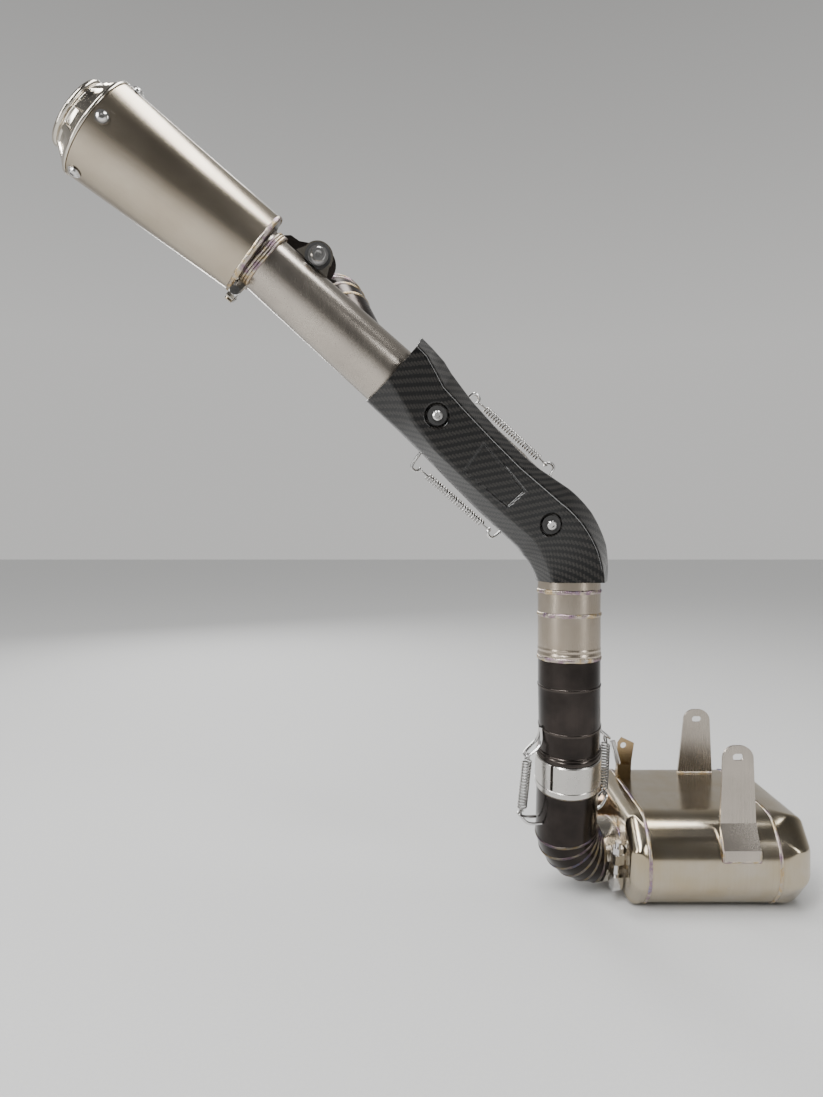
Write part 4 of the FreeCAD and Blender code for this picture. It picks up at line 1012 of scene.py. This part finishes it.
def tab_welds():
    """Fillet welds along the feet of the two slotted tabs."""
    near_low, near_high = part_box("near_tab")
    far_low, far_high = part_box("far_tab")
    front = BOX_LOW.y
    knee = 0.014
    strips = []
    xs = np.linspace(near_low.x, near_high.x, 30)
    down = np.array([0, -0.5, -0.87])
    strips.append(([(x, front - 0.0008, near_low.z) for x in xs], [down] * 30))
    for x, hand in ((near_low.x, -1), (near_high.x, 1)):
        rise = [(x, front - 0.0006, z) for z in np.linspace(near_low.z, knee, 8)]
        slope = [(x, front + 0.0115 * t - 0.0006, knee + 0.0125 * t) for t in np.linspace(0.1, 0.9, 8)]
        strips.append((rise + slope, [np.array([hand * 0.5, -0.8, 0.2])] * 16))
    xs = np.linspace(far_low.x, far_high.x, 30)
    for y, hand in ((far_low.y, -1), (far_high.y, 1)):
        strips.append(([(x, y, far_low.z + 0.0006) for x in xs], [np.array([0, hand * 0.6, 0.8])] * 30))
    beads = [bead("tab_welds", path, outs, 0.0030, 0.0012, closed=False) for path, outs in strips]
    place(joined(beads), "collector", "tinted", WELD)


# ---- whole scene ----------------------------------------------------------------------------
def paint_nodes():
    """Give every CAD node that still shows the finish of its slot."""
    for part in frame["record"]["subparts"]:
        node = NODES[part["node"]]
        node.data.materials.clear()
        node.data.materials.append(OF_SLOT[part["material_slot"]])
    NODES["silencer_inlet_cap"].data.materials[0] = TI_DARK_NODE


def studio():
    """Floor, lights and the camera level with the middle of the pipes."""
    mesh = bpy.data.meshes.new("floor")
    size = 6.0
    ground = cad_box[0][2] - 0.001
    corners = [(-size, -size, ground), (size, -size, ground), (size, size, ground), (-size, size, ground)]
    mesh.from_pydata(corners, [], [(0, 1, 2, 3)])
    floor = bpy.data.objects.new("floor", mesh)
    bpy.context.scene.collection.objects.link(floor)
    f = Finish("floor_paper")
    grain = f.noise(f.add("ShaderNodeTexCoord").outputs["Object"], 300.0)
    f.shade(Base_Color=f.mix(grain, rgb(0.46, 0.46, 0.455), rgb(0.50, 0.50, 0.495)), Roughness=0.9)
    mesh.materials.append(f.material)
    lamp("key", (-0.75, -1.30, 1.55), (-0.15, -0.1, 0.35), 0.30, 1.3, 30)
    lamp("strip", (-1.5, -0.9, 0.9), (-0.1, -0.1, 0.30), 0.25, 1.4, 14)
    lamp("fill", (1.2, -1.3, 0.8), (0.0, -0.1, 0.20), 0.3, 1.2, 10)
    lamp("top", (0.1, 0.0, 1.9), (0.0, -0.1, 0.2), 1.6, 0.45, 24)
    lamp("back", (-0.8, 1.4, 1.1), (-0.1, 0.0, 0.35), 0.6, 1.2, 20)
    sun = bpy.data.objects.new("sky", bpy.data.lights.new("sky", "SUN"))
    sun.data.energy = 2.6
    sun.visible_glossy = False
    sun.data.angle = math.radians(70)
    sun.rotation_euler = (math.radians(25), math.radians(-20), 0)
    bpy.context.scene.collection.objects.link(sun)
    backdrop_light()
    data = bpy.data.cameras.new("camera")
    data.lens = 26.253
    data.sensor_width = 36.0
    data.shift_x = -0.01686
    data.shift_y = -0.03054
    data.clip_start = 0.01
    camera = bpy.data.objects.new("camera", data)
    camera.location = (-0.155, -0.899, 0.334)
    camera.rotation_euler = (math.radians(90), 0, 0)
    bpy.context.scene.collection.objects.link(camera)
    bpy.context.scene.camera = camera


def backdrop_light():
    """World that is pale behind the object and dimmer in front of it and overhead."""
    world = bpy.data.worlds.new("studio")
    world.use_nodes = True
    tree = world.node_tree
    direction = tree.nodes.new("ShaderNodeTexCoord").outputs["Generated"]
    split = tree.nodes.new("ShaderNodeSeparateXYZ")
    tree.links.new(direction, split.inputs[0])
    factors = []
    for axis, limits in (("Y", (-0.30, 0.50, 0.11, 0.62)), ("Z", (0.2, 0.9, 1.0, 0.20))):
        ramp = tree.nodes.new("ShaderNodeMapRange")
        tree.links.new(split.outputs[axis], ramp.inputs["Value"])
        for socket, value in zip(("From Min", "From Max", "To Min", "To Max"), limits):
            ramp.inputs[socket].default_value = value
        factors.append(ramp.outputs[0])
    product = tree.nodes.new("ShaderNodeMath")
    product.operation = "MULTIPLY"
    tree.links.new(factors[0], product.inputs[0])
    tree.links.new(factors[1], product.inputs[1])
    tree.links.new(product.outputs[0], tree.nodes["Background"].inputs["Strength"])
    tree.nodes["Background"].inputs["Color"].default_value = (1.0, 0.99, 0.97, 1)
    bpy.context.scene.world = world


def lamp(name, location, target, width, height, power):
    data = bpy.data.lights.new(name, "AREA")
    data.shape = "RECTANGLE"
    data.size = width
    data.size_y = height
    data.energy = power
    light = bpy.data.objects.new(name, data)
    light.location = location
    light.rotation_euler = (Vector(target) - Vector(location)).to_track_quat("-Z", "Y").to_euler()
    bpy.context.scene.collection.objects.link(light)


paint_nodes()
silencer_pieces()
link_pieces()
middle_pieces()
elbow_pieces()
spring_pieces()
hook_pieces()
shield_piece()
box_pieces()
tab_welds()
studio()
